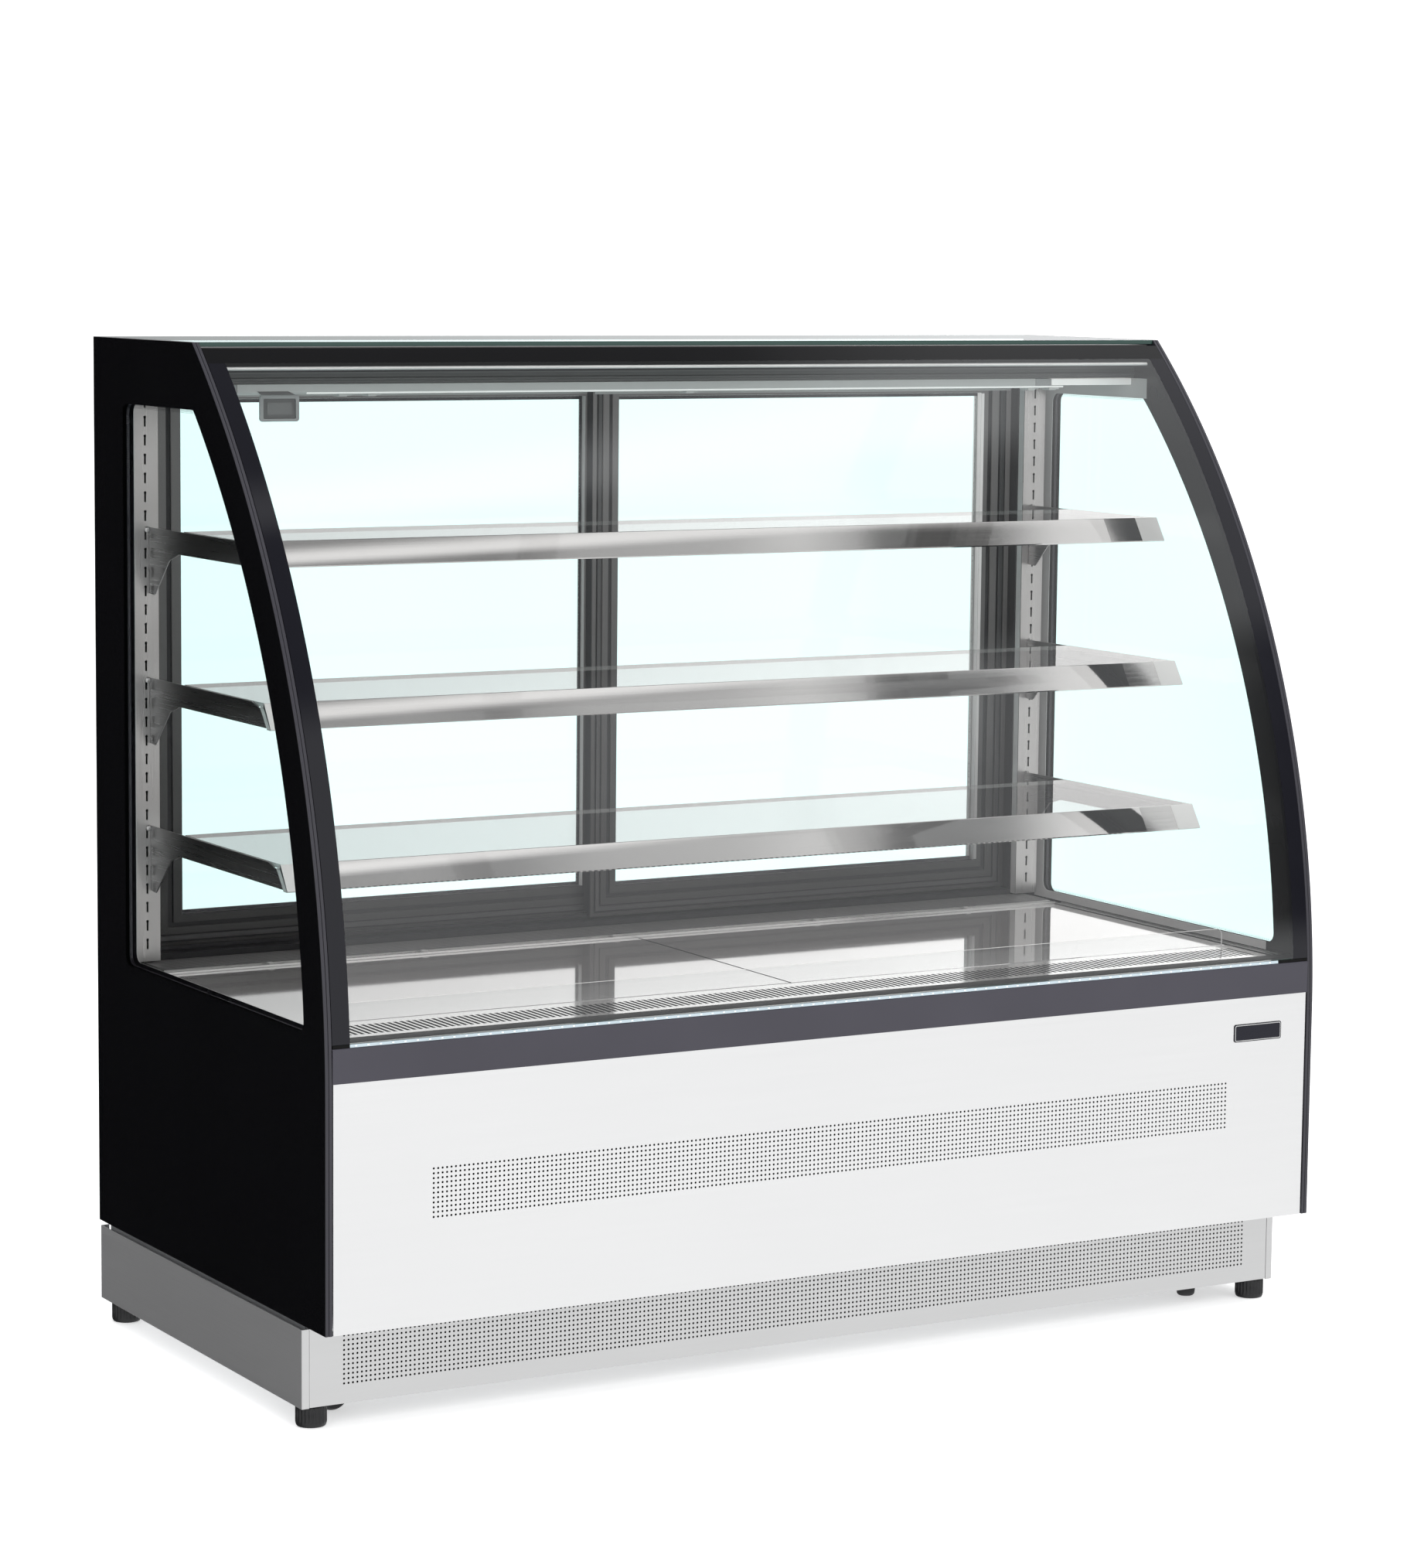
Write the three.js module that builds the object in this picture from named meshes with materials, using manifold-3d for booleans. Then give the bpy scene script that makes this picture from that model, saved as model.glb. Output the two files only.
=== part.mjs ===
// Refrigerated deli case with a curved lift-up front glass, a glass worktop, three hanging
// glass shelves, rear sliding doors and a plug-in cooling unit under the display deck.
// Millimetres, +Z up, the front (customer side) faces -Y. The origin is on the floor under
// the middle of the case.
import * as THREE from "three";
import { mergeVertices } from "three/addons/utils/BufferGeometryUtils.js";
import Module from "manifold-3d";

const wasm = await Module();
wasm.setup();

// ---------------------------------------------------------------- driving dimensions
const LENGTH = 1500;              // over the two end panels
const DEPTH = 730;                // front panel face to rear face
const HEIGHT = 1335;              // floor to worktop glass
const HALF = LENGTH / 2;
const GAP = 0.3;                  // clearance kept between touching pieces
const SHEET = 1.5;                // stainless and painted sheet

const ARC_RADIUS = 1240;          // outer face of the curved front
const ARC_START_Z = 424;          // height where the curve leaves the vertical
const BODY_BOTTOM_Z = 135.5;      // lower edge of the end panels and front panel
const RAIL_BOTTOM_Z = 448;
const RAIL_TOP_Z = 491.5;
const TOP_GLASS = 6;              // worktop glass thickness
const FRONT_GLASS = 6;            // curved glass thickness
const FRONT_GLASS_BOTTOM_Z = 496;
const FRONT_GLASS_TOP_Z = 1327;

const PANE_OUT = 5;               // outer pane of an end panel
const END_OUTER_X = HALF - PANE_OUT;
const END_FRAME_X = 740.4;        // inner face of the spacer frame
const END_INNER_X = 736;          // inner face of the inner pane
const SPAN_X = 739.8;             // half length of parts that fit between the end frames
const LINER_X = 735.6;            // half length of parts that fit between the inner panes
const BORDER = 59;                // width of the dark border round the end windows
const WINDOW_REAR = 628;          // from the front plane
const WINDOW_BOTTOM_Z = 503.5;
const WINDOW_TOP_Z = 1243;

const DECK_TOP_Z = 494;
const DECK_HALF_X = 712;
const SHELF_TOPS = [1085.5, 885, 686];      // top, middle, bottom shelf
const SHELF_FRONTS = [330, 278, 228.5];     // front edge, from the front plane
const SHELF_GLASS_REAR = 538;
const SHELF_HALF_X = 705;
const TRIM_HEIGHT = 33;
const TRIM_LEAN = 20.5;                     // the trims lean out at the bottom
const PILASTER_X = 710;
const PILASTER_WIDTH = 37;
const PILASTER_FRONT = 650;

const DOOR_Z = [508.5, 1276];
const DOOR_STILE = 50;
const DOOR_THICK = 20;
const DOOR_FRONTS = { left: 706, right: 683 };   // the doors run on two tracks
const DOOR_LAP = 17;                             // each door passes the middle by this
const DOOR_GLASS_Z = [557, 1247];
const OPENING_X = 690.5;

const BASE_Z = [72, 112];
const FOOT_X = 725.5;
const FOOT_FRONT = 95;
const FOOT_REAR = 694;
const CASTOR_X = 655;
const CASTOR_FRONT = 152;
const CASTOR_REAR = 630;
const WHEEL_RADIUS = 25;
const WHEEL_Z = WHEEL_RADIUS + 1;
const CASTOR_TRAIL = 20;

const fromFront = (d) => d - DEPTH / 2;    // distance behind the front plane, as a Y value

// ---------------------------------------------------------------- materials
const paint = (color, roughness, metalness = 0) => ({ color, roughness, metalness });
const LOOK = {
  blackGlass: paint(0x0d0d0f, 0.08),
  clearGlass: paint(0xdfeeee, 0.03),
  darkTrim: paint(0x47464e, 0.45, 0.3),
  blackFrame: paint(0x1c1c20, 0.5),
  brightSteel: paint(0xd8d8d6, 0.28, 0.9),
  brushedSteel: paint(0xa9a9aa, 0.38, 0.9),
  galvanised: paint(0x9aa0a2, 0.5, 0.7),
  white: paint(0xeceded, 0.4),
  foamBody: paint(0xb9bcbd, 0.45, 0.4),
  diffuser: paint(0xf4f4ef, 0.5),
  blackPlastic: paint(0x17171a, 0.55),
  rubber: paint(0x202022, 0.85),
  compressor: paint(0x121214, 0.4, 0.2),
  fins: paint(0xbfc3c5, 0.4, 0.8),
  display: paint(0x55585c, 0.4),
};

// ---------------------------------------------------------------- geometry helpers
function outline(points, holes = []) {
  const shape = new THREE.Shape(points.map(([u, v]) => new THREE.Vector2(u, v)));
  for (const hole of holes) {
    shape.holes.push(new THREE.Path(hole.map(([u, v]) => new THREE.Vector2(u, v))));
  }
  return shape;
}

// A section in (distance from front, z) run along X between two x values.
function runX(points, x0, x1, holes = []) {
  const geometry = new THREE.ExtrudeGeometry(outline(points, holes), {
    depth: x1 - x0, bevelEnabled: false, curveSegments: 8,
  });
  const basis = new THREE.Matrix4().makeBasis(
    new THREE.Vector3(0, 1, 0), new THREE.Vector3(0, 0, 1), new THREE.Vector3(1, 0, 0));
  return geometry.applyMatrix4(basis).translate(x0, -DEPTH / 2, 0);
}

// A section in (x, z) run along Y between two distances from the front plane.
function runY(points, d0, d1, holes = []) {
  const geometry = new THREE.ExtrudeGeometry(outline(points, holes), {
    depth: d1 - d0, bevelEnabled: false, curveSegments: 8,
  });
  const basis = new THREE.Matrix4().makeBasis(
    new THREE.Vector3(1, 0, 0), new THREE.Vector3(0, 0, 1), new THREE.Vector3(0, -1, 0));
  return geometry.applyMatrix4(basis).translate(0, fromFront(d1), 0);
}

// A section in (x, distance from front) run up Z.
function runZ(points, z0, z1, holes = []) {
  const geometry = new THREE.ExtrudeGeometry(outline(points, holes), {
    depth: z1 - z0, bevelEnabled: false, curveSegments: 8,
  });
  return geometry.translate(0, -DEPTH / 2, z0);
}

function block(x0, x1, d0, d1, z0, z1) {
  const geometry = new THREE.BoxGeometry(x1 - x0, d1 - d0, z1 - z0);
  return geometry.translate((x0 + x1) / 2, fromFront((d0 + d1) / 2), (z0 + z1) / 2);
}

function rectangle(u0, u1, v0, v1) {
  return [[u0, v0], [u1, v0], [u1, v1], [u0, v1]];
}

function solid(geometry) {
  const bare = geometry.clone();
  bare.deleteAttribute("normal");
  bare.deleteAttribute("uv");
  const merged = mergeVertices(bare, 1e-4);
  const index = merged.index.array;
  const faces = [];
  for (let i = 0; i < index.length; i += 3) {
    const [a, b, c] = [index[i], index[i + 1], index[i + 2]];
    if (a !== b && b !== c && c !== a) {
      faces.push(a, b, c);
    }
  }
  return new wasm.Manifold(new wasm.Mesh({
    numProp: 3,
    vertProperties: new Float32Array(merged.attributes.position.array),
    triVerts: new Uint32Array(faces),
  }));
}

function fromSolid(manifold) {
  const mesh = manifold.getMesh();
  const geometry = new THREE.BufferGeometry();
  geometry.setAttribute("position", new THREE.BufferAttribute(mesh.vertProperties, 3));
  geometry.setIndex(new THREE.BufferAttribute(mesh.triVerts, 1));
  return geometry;
}

function join(...geometries) {
  return fromSolid(geometries.map(solid).reduce((all, next) => all.add(next)));
}

function cut(body, ...tools) {
  return fromSolid(tools.map(solid).reduce((rest, tool) => rest.subtract(tool), solid(body)));
}

// A solid of revolution about Z from [radius, z] pairs that start and end on the axis.
function turned(profile, segments = 24) {
  const points = profile.map(([r, z]) => new THREE.Vector2(r, z));
  return new THREE.LatheGeometry(points, segments).rotateX(Math.PI / 2);
}

function mirrorX(geometry) {
  const copy = geometry.clone().scale(-1, 1, 1);
  const index = copy.index ? copy.index.array.slice() : null;
  if (index) {
    for (let i = 0; i < index.length; i += 3) {
      [index[i], index[i + 1]] = [index[i + 1], index[i]];
    }
    copy.setIndex(new THREE.BufferAttribute(index, 1));
    return copy;
  }
  const position = copy.attributes.position.array;
  for (let i = 0; i < position.length; i += 9) {
    for (let k = 0; k < 3; k += 1) {
      [position[i + k], position[i + 3 + k]] = [position[i + 3 + k], position[i + k]];
    }
  }
  return copy;
}

// ---------------------------------------------------------------- assembly helpers
const deliCase = new THREE.Group();

function group(parent = deliCase) {
  const child = new THREE.Group();
  parent.add(child);
  return child;
}

function piece(parent, name, geometry, look) {
  const mesh = new THREE.Mesh(geometry, new THREE.MeshStandardMaterial(look));
  mesh.name = name;
  parent.add(mesh);
  return mesh;
}

// ---------------------------------------------------------------- the curved front
// The outer face is one arc that starts on the vertical front plane.
function arcDepth(z, inset = 0) {
  const rise = Math.max(z - ARC_START_Z, 0);
  return ARC_RADIUS - Math.sqrt((ARC_RADIUS - inset) ** 2 - rise ** 2);
}

function arcPoints(z0, z1, inset = 0, steps = 24) {
  const radius = ARC_RADIUS - inset;
  const a0 = Math.asin((z0 - ARC_START_Z) / radius);
  const a1 = Math.asin((z1 - ARC_START_Z) / radius);
  const points = [];
  for (let i = 0; i <= steps; i += 1) {
    const a = a0 + ((a1 - a0) * i) / steps;
    points.push([ARC_RADIUS - radius * Math.cos(a), ARC_START_Z + radius * Math.sin(a)]);
  }
  return points;
}

// A corner of an outline rounded off: centre, radius and the two bearings in degrees.
function corner(cx, cy, r, from, to, steps = 4) {
  const points = [];
  for (let i = 0; i <= steps; i += 1) {
    const a = THREE.MathUtils.degToRad(from + ((to - from) * i) / steps);
    points.push([cx + r * Math.cos(a), cy + r * Math.sin(a)]);
  }
  return points;
}

function endOutline() {
  return [
    [DEPTH, BODY_BOTTOM_Z], [DEPTH, HEIGHT],
    ...arcPoints(ARC_START_Z, HEIGHT).reverse(), [0, BODY_BOTTOM_Z],
  ];
}

// The clear window of an end panel: its front edge follows the curve.
function windowOutline(border, rear, z0, z1) {
  const r = 12;
  const frontLow = arcDepth(z0 + r, border);
  const frontTop = arcDepth(z1 - r, border);
  return [
    ...corner(rear - r, z0 + r, r, -90, 0), ...corner(rear - r, z1 - r, r, 0, 90),
    ...corner(frontTop + r + 6, z1 - r, r, 90, 150),
    ...arcPoints(z0 + r, z1 - 2 * r, border, 16).reverse(),
    ...corner(frontLow + r, z0 + r, r, 180, 270).slice(1),
  ];
}

// ---------------------------------------------------------------- end panels
const ends = group();
const innerPaneOutline = [
  [DEPTH - 4, DECK_TOP_Z - 2], [DEPTH - 4, FRONT_GLASS_TOP_Z],
  ...arcPoints(DECK_TOP_Z - 2, FRONT_GLASS_TOP_Z, 16).reverse(),
];
const endPane = runX(endOutline(), END_OUTER_X, HALF);
const endFrame = runX(endOutline(), END_FRAME_X, END_OUTER_X - GAP,
  [windowOutline(BORDER, WINDOW_REAR, WINDOW_BOTTOM_Z, WINDOW_TOP_Z).reverse()]);
const endInnerPane = runX(innerPaneOutline, END_INNER_X, END_FRAME_X - GAP);
for (const [side, place] of [["right", (g) => g], ["left", mirrorX]]) {
  piece(ends, `end_glass_${side}`, place(endPane), LOOK.blackGlass);
  piece(ends, `end_frame_${side}`, place(endFrame), LOOK.blackFrame);
  piece(ends, `end_inner_glass_${side}`, place(endInnerPane), LOOK.clearGlass);
}

// ---------------------------------------------------------------- base and plinth
const base = group();
const FRAME_X = 744;
const FRAME_D = [80, 726];
const TUBE = 40;
const FLOOR_Z = BASE_Z[1] - 2;
function baseFrame() {
  const inner = CASTOR_X - 34;
  const bayD = [FRAME_D[0] + TUBE, FRAME_D[1] - TUBE];
  // Two open bays under a floor plate, either side of the middle bar.
  const bays = [[-inner, -20], [20, inner]].map(([x0, x1]) => block(
    x0, x1, ...bayD, BASE_Z[0] - 1, FLOOR_Z));
  const ladder = block(-FRAME_X, FRAME_X, ...FRAME_D, ...BASE_Z);
  const stemHoles = footPlaces().map(([x, d]) => turned([
    [0, 60], [5.8, 60], [5.8, 106], [0, 106]], 12).translate(x, fromFront(d), 0));
  const swivelHoles = [-1, 1].map((s) => turned([
    [0, 60], [6.3, 60], [6.3, 96], [0, 96]], 12)
    .translate(s * CASTOR_X, fromFront(CASTOR_FRONT), 0));
  const forks = [-1, 1].map((s) => fixedFork(s * CASTOR_X, CASTOR_REAR));
  return cut(join(cut(ladder, ...bays), ...forks),
    ...stemHoles, ...swivelHoles);
}

function footPlaces() {
  return [[-FOOT_X, FOOT_FRONT], [FOOT_X, FOOT_FRONT], [-FOOT_X, FOOT_REAR], [FOOT_X, FOOT_REAR]];
}

// The rear castors don't swivel: their fork cheeks are welded under the frame.
function fixedFork(x, d) {
  const cheek = (y0, y1) => block(x - 14, x + 14, d + y0, d + y1, WHEEL_Z - 8, BASE_Z[0] + 2);
  const axle = new THREE.CylinderGeometry(3.5, 3.5, 34, 10).translate(x, fromFront(d), WHEEL_Z);
  return join(cheek(-16.5, -13), cheek(13, 16.5), axle);
}

piece(base, "base_frame", baseFrame(), LOOK.galvanised);

const PLINTH_Z = [28, 128];
const PLINTH_FRONT = 74;
const PLINTH_X = 748;
const plinthSection = [
  [PLINTH_FRONT + 0.2, PLINTH_Z[0]], [PLINTH_FRONT + 12, PLINTH_Z[0]],
  [PLINTH_FRONT + 12, PLINTH_Z[0] + SHEET], [PLINTH_FRONT + 0.2 + SHEET, PLINTH_Z[0] + SHEET],
  [PLINTH_FRONT + 0.2 + SHEET, PLINTH_Z[1] - SHEET], [PLINTH_FRONT + 5, PLINTH_Z[1] - SHEET],
  [PLINTH_FRONT + 5, PLINTH_Z[1]], [PLINTH_FRONT + 0.2, PLINTH_Z[1]],
];
piece(base, "plinth_front", runX(plinthSection, -737.2, 737.2), LOOK.brightSteel);
const plinthSide = runZ([
  [737.7, PLINTH_FRONT], [PLINTH_X, PLINTH_FRONT], [PLINTH_X, DEPTH - 1],
  [PLINTH_X - SHEET, DEPTH - 1], [PLINTH_X - SHEET, PLINTH_FRONT + SHEET],
  [737.7, PLINTH_FRONT + SHEET],
], PLINTH_Z[0] - 1, PLINTH_Z[1]);
piece(base, "plinth_right", plinthSide, LOOK.brushedSteel);
piece(base, "plinth_left", mirrorX(plinthSide), LOOK.brushedSteel);

// Levelling feet: a ribbed pad on an M10 stem that screws into the base frame.
const FOOT_NAMES = ["foot_front_left", "foot_front_right", "foot_rear_left", "foot_rear_right"];
const footProfile = [
  [0, 0], [16, 0], [19, 2], [20, 5], [20, 25], [18.5, 27], [7, 27], [7, 34], [5, 34],
  [5, 104], [0, 104],
];
footPlaces().forEach(([x, d], i) => {
  const foot = piece(base, FOOT_NAMES[i], turned(footProfile, 24), LOOK.blackPlastic);
  foot.position.set(x, fromFront(d), 0);
});

// ---------------------------------------------------------------- castors
// A swivel fork about its own vertical axis: the wheel trails towards -X before turning.
function swivelFork() {
  const z0 = WHEEL_Z - 8;
  const cheek = (y0, y1) => new THREE.BoxGeometry(30, y1 - y0, 60 - z0)
    .translate(-CASTOR_TRAIL + 5, (y0 + y1) / 2, (60 + z0) / 2);
  const head = turned([[0, 55.5], [23, 55.5], [23, 66], [10, 71.4], [6, 71.4], [6, 94], [0, 94]], 20);
  const crown = new THREE.BoxGeometry(40, 33, 4).translate(-10, 0, 57.6);
  const axle = new THREE.CylinderGeometry(3.5, 3.5, 32, 10).translate(-CASTOR_TRAIL, 0, WHEEL_Z);
  return join(cheek(-16.5, -13), cheek(13, 16.5), head, crown, axle);
}

// A wheel turned about Y with a crowned tread and a bore for its axle.
function castorWheel() {
  const tyre = turned([
    [0, -12], [19, -12], [22.5, -9.5], [WHEEL_RADIUS, -4], [WHEEL_RADIUS, 4], [22.5, 9.5],
    [19, 12], [0, 12]], 28);
  const bore = turned([[0, -20], [4.1, -20], [4.1, 20], [0, 20]], 10);
  return cut(tyre, bore).rotateX(Math.PI / 2);
}

const wheel = castorWheel();
const SWIVELS = [["left", -CASTOR_X, 12], ["right", CASTOR_X, 58]];
for (const [side, x, turn] of SWIVELS) {
  const swivel = group(base);
  swivel.position.set(x, fromFront(CASTOR_FRONT), 0);
  swivel.rotation.z = THREE.MathUtils.degToRad(turn);
  piece(swivel, `castor_fork_front_${side}`, swivelFork(), LOOK.blackPlastic);
  const front = piece(swivel, `castor_wheel_front_${side}`, wheel, LOOK.rubber);
  front.position.set(-CASTOR_TRAIL, 0, WHEEL_Z);
  const rear = piece(base, `castor_wheel_rear_${side}`, wheel, LOOK.rubber);
  rear.position.set(x, fromFront(CASTOR_REAR), WHEEL_Z);
}

// ---------------------------------------------------------------- insulated body
// One foamed shell: a well under the deck, and two side walls that stand on the base frame
// and leave the machine space open at the front and the rear.
const body = group();
const WELL_FLOOR_Z = [336, 368];
const BODY_D = [36, 724];
const LEDGE_Z = 478;
const bodyShell = cut(
  block(-LINER_X, LINER_X, ...BODY_D, BASE_Z[1] + GAP, DECK_TOP_Z - 2.5),
  block(-DECK_HALF_X - 2, DECK_HALF_X + 2, BODY_D[0] - 1, BODY_D[1] + 1, LEDGE_Z, DECK_TOP_Z),
  block(-LINER_X - 1, LINER_X + 1, BODY_D[0] - 1, 44, RAIL_BOTTOM_Z, DECK_TOP_Z),
  block(-LINER_X - 1, LINER_X + 1, 663, BODY_D[1] + 1, LEDGE_Z, DECK_TOP_Z),
  block(-LINER_X - 1, LINER_X + 1, BODY_D[0] - 1, FRAME_D[0] + 12, BASE_Z[1] - 1, 136),
  block(-706, 706, BODY_D[0] - 1, BODY_D[1] + 1, BASE_Z[1] - 1, WELL_FLOOR_Z[0]),
  block(-700, 700, 66, 660, WELL_FLOOR_Z[1], LEDGE_Z + 1),
);
piece(body, "insulated_body", bodyShell, LOOK.foamBody);

const panelSection = [
  [0, BODY_BOTTOM_Z], [22, BODY_BOTTOM_Z], [22, BODY_BOTTOM_Z + SHEET],
  [SHEET, BODY_BOTTOM_Z + SHEET], [SHEET, RAIL_BOTTOM_Z - GAP - SHEET],
  [22, RAIL_BOTTOM_Z - GAP - SHEET], [22, RAIL_BOTTOM_Z - GAP], [0, RAIL_BOTTOM_Z - GAP],
];
piece(body, "front_panel", runX(panelSection, -738.6, 738.6), LOOK.brightSteel);

// The rail under the glass: a solid bar with a lip that reaches back under the glass.
const railSection = [
  [0.2, RAIL_BOTTOM_Z], [30, RAIL_BOTTOM_Z], [30, RAIL_TOP_Z - 3],
  [42, RAIL_TOP_Z - 3], [42, RAIL_TOP_Z], [0.2, RAIL_TOP_Z],
];
piece(body, "front_rail", runX(railSection, -SPAN_X, SPAN_X), LOOK.darkTrim);

const rearPanelZ = [BODY_BOTTOM_Z, 486.5];
const rearPanelSection = [
  [DEPTH - 4, rearPanelZ[0]], [DEPTH, rearPanelZ[0]], [DEPTH, rearPanelZ[1]],
  [DEPTH - 4, rearPanelZ[1]], [DEPTH - 4, rearPanelZ[1] - SHEET],
  [DEPTH - SHEET, rearPanelZ[1] - SHEET], [DEPTH - SHEET, rearPanelZ[0] + SHEET],
  [DEPTH - 4, rearPanelZ[0] + SHEET],
];
const CONTROL = { x: 560, z: 262, w: 150, h: 62 };
const rearPanel = cut(runX(rearPanelSection, -SPAN_X, SPAN_X),
  block(CONTROL.x - CONTROL.w / 2 + 6, CONTROL.x + CONTROL.w / 2 - 6, 700, DEPTH + 5,
    CONTROL.z - CONTROL.h / 2 + 6, CONTROL.z + CONTROL.h / 2 - 6));
piece(body, "rear_panel", rearPanel, LOOK.brushedSteel);

// ---------------------------------------------------------------- deck
const deck = group();
const panSection = [
  [154, 480], [156, 480], [156, DECK_TOP_Z - 2], [552, DECK_TOP_Z - 2], [552, 480], [554, 480],
  [554, DECK_TOP_Z], [154, DECK_TOP_Z],
];
piece(deck, "deck_pan_left", runX(panSection, -DECK_HALF_X, -0.5), LOOK.brightSteel);
piece(deck, "deck_pan_right", runX(panSection, 0.5, DECK_HALF_X), LOOK.brightSteel);
const grilleSection = [
  [44, 489], [46, 489], [46, DECK_TOP_Z - 2], [148, DECK_TOP_Z - 2], [148, 489], [150, 489],
  [150, DECK_TOP_Z], [44, DECK_TOP_Z],
];
piece(deck, "front_air_grille", runX(grilleSection, -DECK_HALF_X, DECK_HALF_X), LOOK.brightSteel);
const guardOutline = [
  [-705, 481], [705, 481], ...corner(697, 510, 8, 0, 90), ...corner(-697, 510, 8, 90, 180),
];
piece(deck, "air_guard", runY(guardOutline, 150.5, 153.5), LOOK.clearGlass);

// ---------------------------------------------------------------- rear frame and doors
const rear = group();
const REAR_D = [665, 728];
const frameHole = rectangle(-OPENING_X, OPENING_X, 507, DOOR_Z[1] + 6).reverse();
const ring = runY(rectangle(-LINER_X, LINER_X, 487, FRONT_GLASS_TOP_Z), ...REAR_D, [frameHole]);
const trackRibs = ["left", "right"].map((side) => {
  const middle = DOOR_FRONTS[side] + DOOR_THICK / 2;
  return block(-OPENING_X - 1, OPENING_X + 1, middle - 1.5, middle + 1.5, 506, 513);
});
const rearLedge = runX([
  [556, 487], [REAR_D[0] + 1, 487], [REAR_D[0] + 1, 497], [590, 497], [590, DECK_TOP_Z],
  [556, DECK_TOP_Z],
], -DECK_HALF_X, DECK_HALF_X);
piece(rear, "rear_frame", join(ring, rearLedge, ...trackRibs), LOOK.blackFrame);

function doorFrame(side, x0, x1) {
  const d0 = DOOR_FRONTS[side];
  const hole = rectangle(x0 + DOOR_STILE, x1 - DOOR_STILE, ...DOOR_GLASS_Z).reverse();
  const leaf = runY(rectangle(x0, x1, ...DOOR_Z), d0, d0 + DOOR_THICK, [hole]);
  const middle = d0 + DOOR_THICK / 2;
  const groove = block(x0 - 1, x1 + 1, middle - 2.5, middle + 2.5, DOOR_Z[0] - 1, 515);
  return cut(leaf, groove);
}

for (const [side, x0, x1] of [
  ["left", -OPENING_X + 0.5, DOOR_LAP], ["right", -DOOR_LAP, OPENING_X - 0.5]]) {
  const d0 = DOOR_FRONTS[side];
  piece(rear, `door_frame_${side}`, doorFrame(side, x0, x1), LOOK.blackFrame);
  piece(rear, `door_glass_${side}`, block(
    x0 + DOOR_STILE + GAP, x1 - DOOR_STILE - GAP, d0 + 6, d0 + DOOR_THICK - 6,
    DOOR_GLASS_Z[0] + GAP, DOOR_GLASS_Z[1] - GAP), LOOK.clearGlass);
}

// ---------------------------------------------------------------- shelves
const shelves = group();
const pilasterSection = [
  [-PILASTER_WIDTH / 2, 14], [-PILASTER_WIDTH / 2, 0], [PILASTER_WIDTH / 2, 0],
  [PILASTER_WIDTH / 2, 14], [PILASTER_WIDTH / 2 - SHEET, 14],
  [PILASTER_WIDTH / 2 - SHEET, SHEET], [-PILASTER_WIDTH / 2 + SHEET, SHEET],
  [-PILASTER_WIDTH / 2 + SHEET, 14],
].map(([x, d]) => [x, PILASTER_FRONT + d]);
const PILASTER_Z = [508, 1262];
for (const [side, sign] of [["left", -1], ["right", 1]]) {
  const pilaster = piece(shelves, `pilaster_${side}`,
    runZ(pilasterSection.slice().reverse(), ...PILASTER_Z), LOOK.brushedSteel);
  pilaster.position.x = sign * PILASTER_X;
}

// A bracket arm with a deep heel at the pilaster and a flange that carries the glass.
function bracket(top, front) {
  const rearEdge = PILASTER_FRONT - GAP;
  const low = top - TRIM_HEIGHT;
  const lean = (z) => ((top - z) * TRIM_LEAN) / TRIM_HEIGHT;
  const arm = runX([
    [rearEdge, top - 1], [rearEdge, low - 56], [rearEdge - 18, low - 57],
    [rearEdge - 68, low - 8], [rearEdge - 100, low + 2],
    [front + 6 - lean(low + 2), low + 2], [front + 6, top - 7.5], [front + 15, top - 7.5],
    [front + 40, top - 1],
  ].reverse(), SHELF_HALF_X - 2, SHELF_HALF_X);
  const flange = block(SHELF_HALF_X - 16, SHELF_HALF_X - 1, front + 40, SHELF_GLASS_REAR + 60,
    top - 8.3, top - 6.3);
  return join(arm, flange);
}

function shelfTrim(top, front) {
  const low = top - TRIM_HEIGHT;
  const lean = TRIM_LEAN;
  return runX([
    [front, top], [front - lean, low], [front - lean + 12, low], [front - lean + 12, low + SHEET],
    [front - lean + 3, low + SHEET], [front + 1.6, top - 6.8], [front + 14, top - 6.8],
    [front + 14, top - 6.3 + 0.2], [front + 2.4, top - 6.1], [front + 2.4, top],
  ].reverse(), -SHELF_HALF_X, SHELF_HALF_X);
}

SHELF_TOPS.forEach((top, i) => {
  const front = SHELF_FRONTS[i];
  const number = i + 1;
  const right = bracket(top, front);
  piece(shelves, `shelf${number}_bracket_right`, right, LOOK.brushedSteel);
  piece(shelves, `shelf${number}_bracket_left`, mirrorX(right), LOOK.brushedSteel);
  piece(shelves, `shelf${number}_trim`, shelfTrim(top, front), LOOK.brightSteel);
  piece(shelves, `shelf${number}_glass`, block(
    -SHELF_HALF_X + 2.5, SHELF_HALF_X - 2.5, front + 2.8, SHELF_GLASS_REAR,
    top - 5.8, top - 0.2), LOOK.clearGlass);
});

// ---------------------------------------------------------------- top
const top = group();
const CANOPY_FRONT = 434;
const canopyZ = [1280, 1328];
piece(top, "top_glass", block(-SPAN_X, SPAN_X, 398.6, DEPTH, HEIGHT - TOP_GLASS, HEIGHT),
  LOOK.clearGlass);
const canopySection = [
  [406, canopyZ[1]], [406, canopyZ[1] - 4], [CANOPY_FRONT, canopyZ[1] - 4],
  [CANOPY_FRONT, canopyZ[0]], [REAR_D[0] - GAP, canopyZ[0]], [REAR_D[0] - GAP, canopyZ[0] + 2],
  [CANOPY_FRONT + 3, canopyZ[0] + 2], [CANOPY_FRONT + 3, canopyZ[1] - 3],
  [REAR_D[0] - GAP, canopyZ[1] - 3], [REAR_D[0] - GAP, canopyZ[1]],
];
piece(top, "canopy", runX(canopySection, -LINER_X, LINER_X), LOOK.blackFrame);
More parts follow.
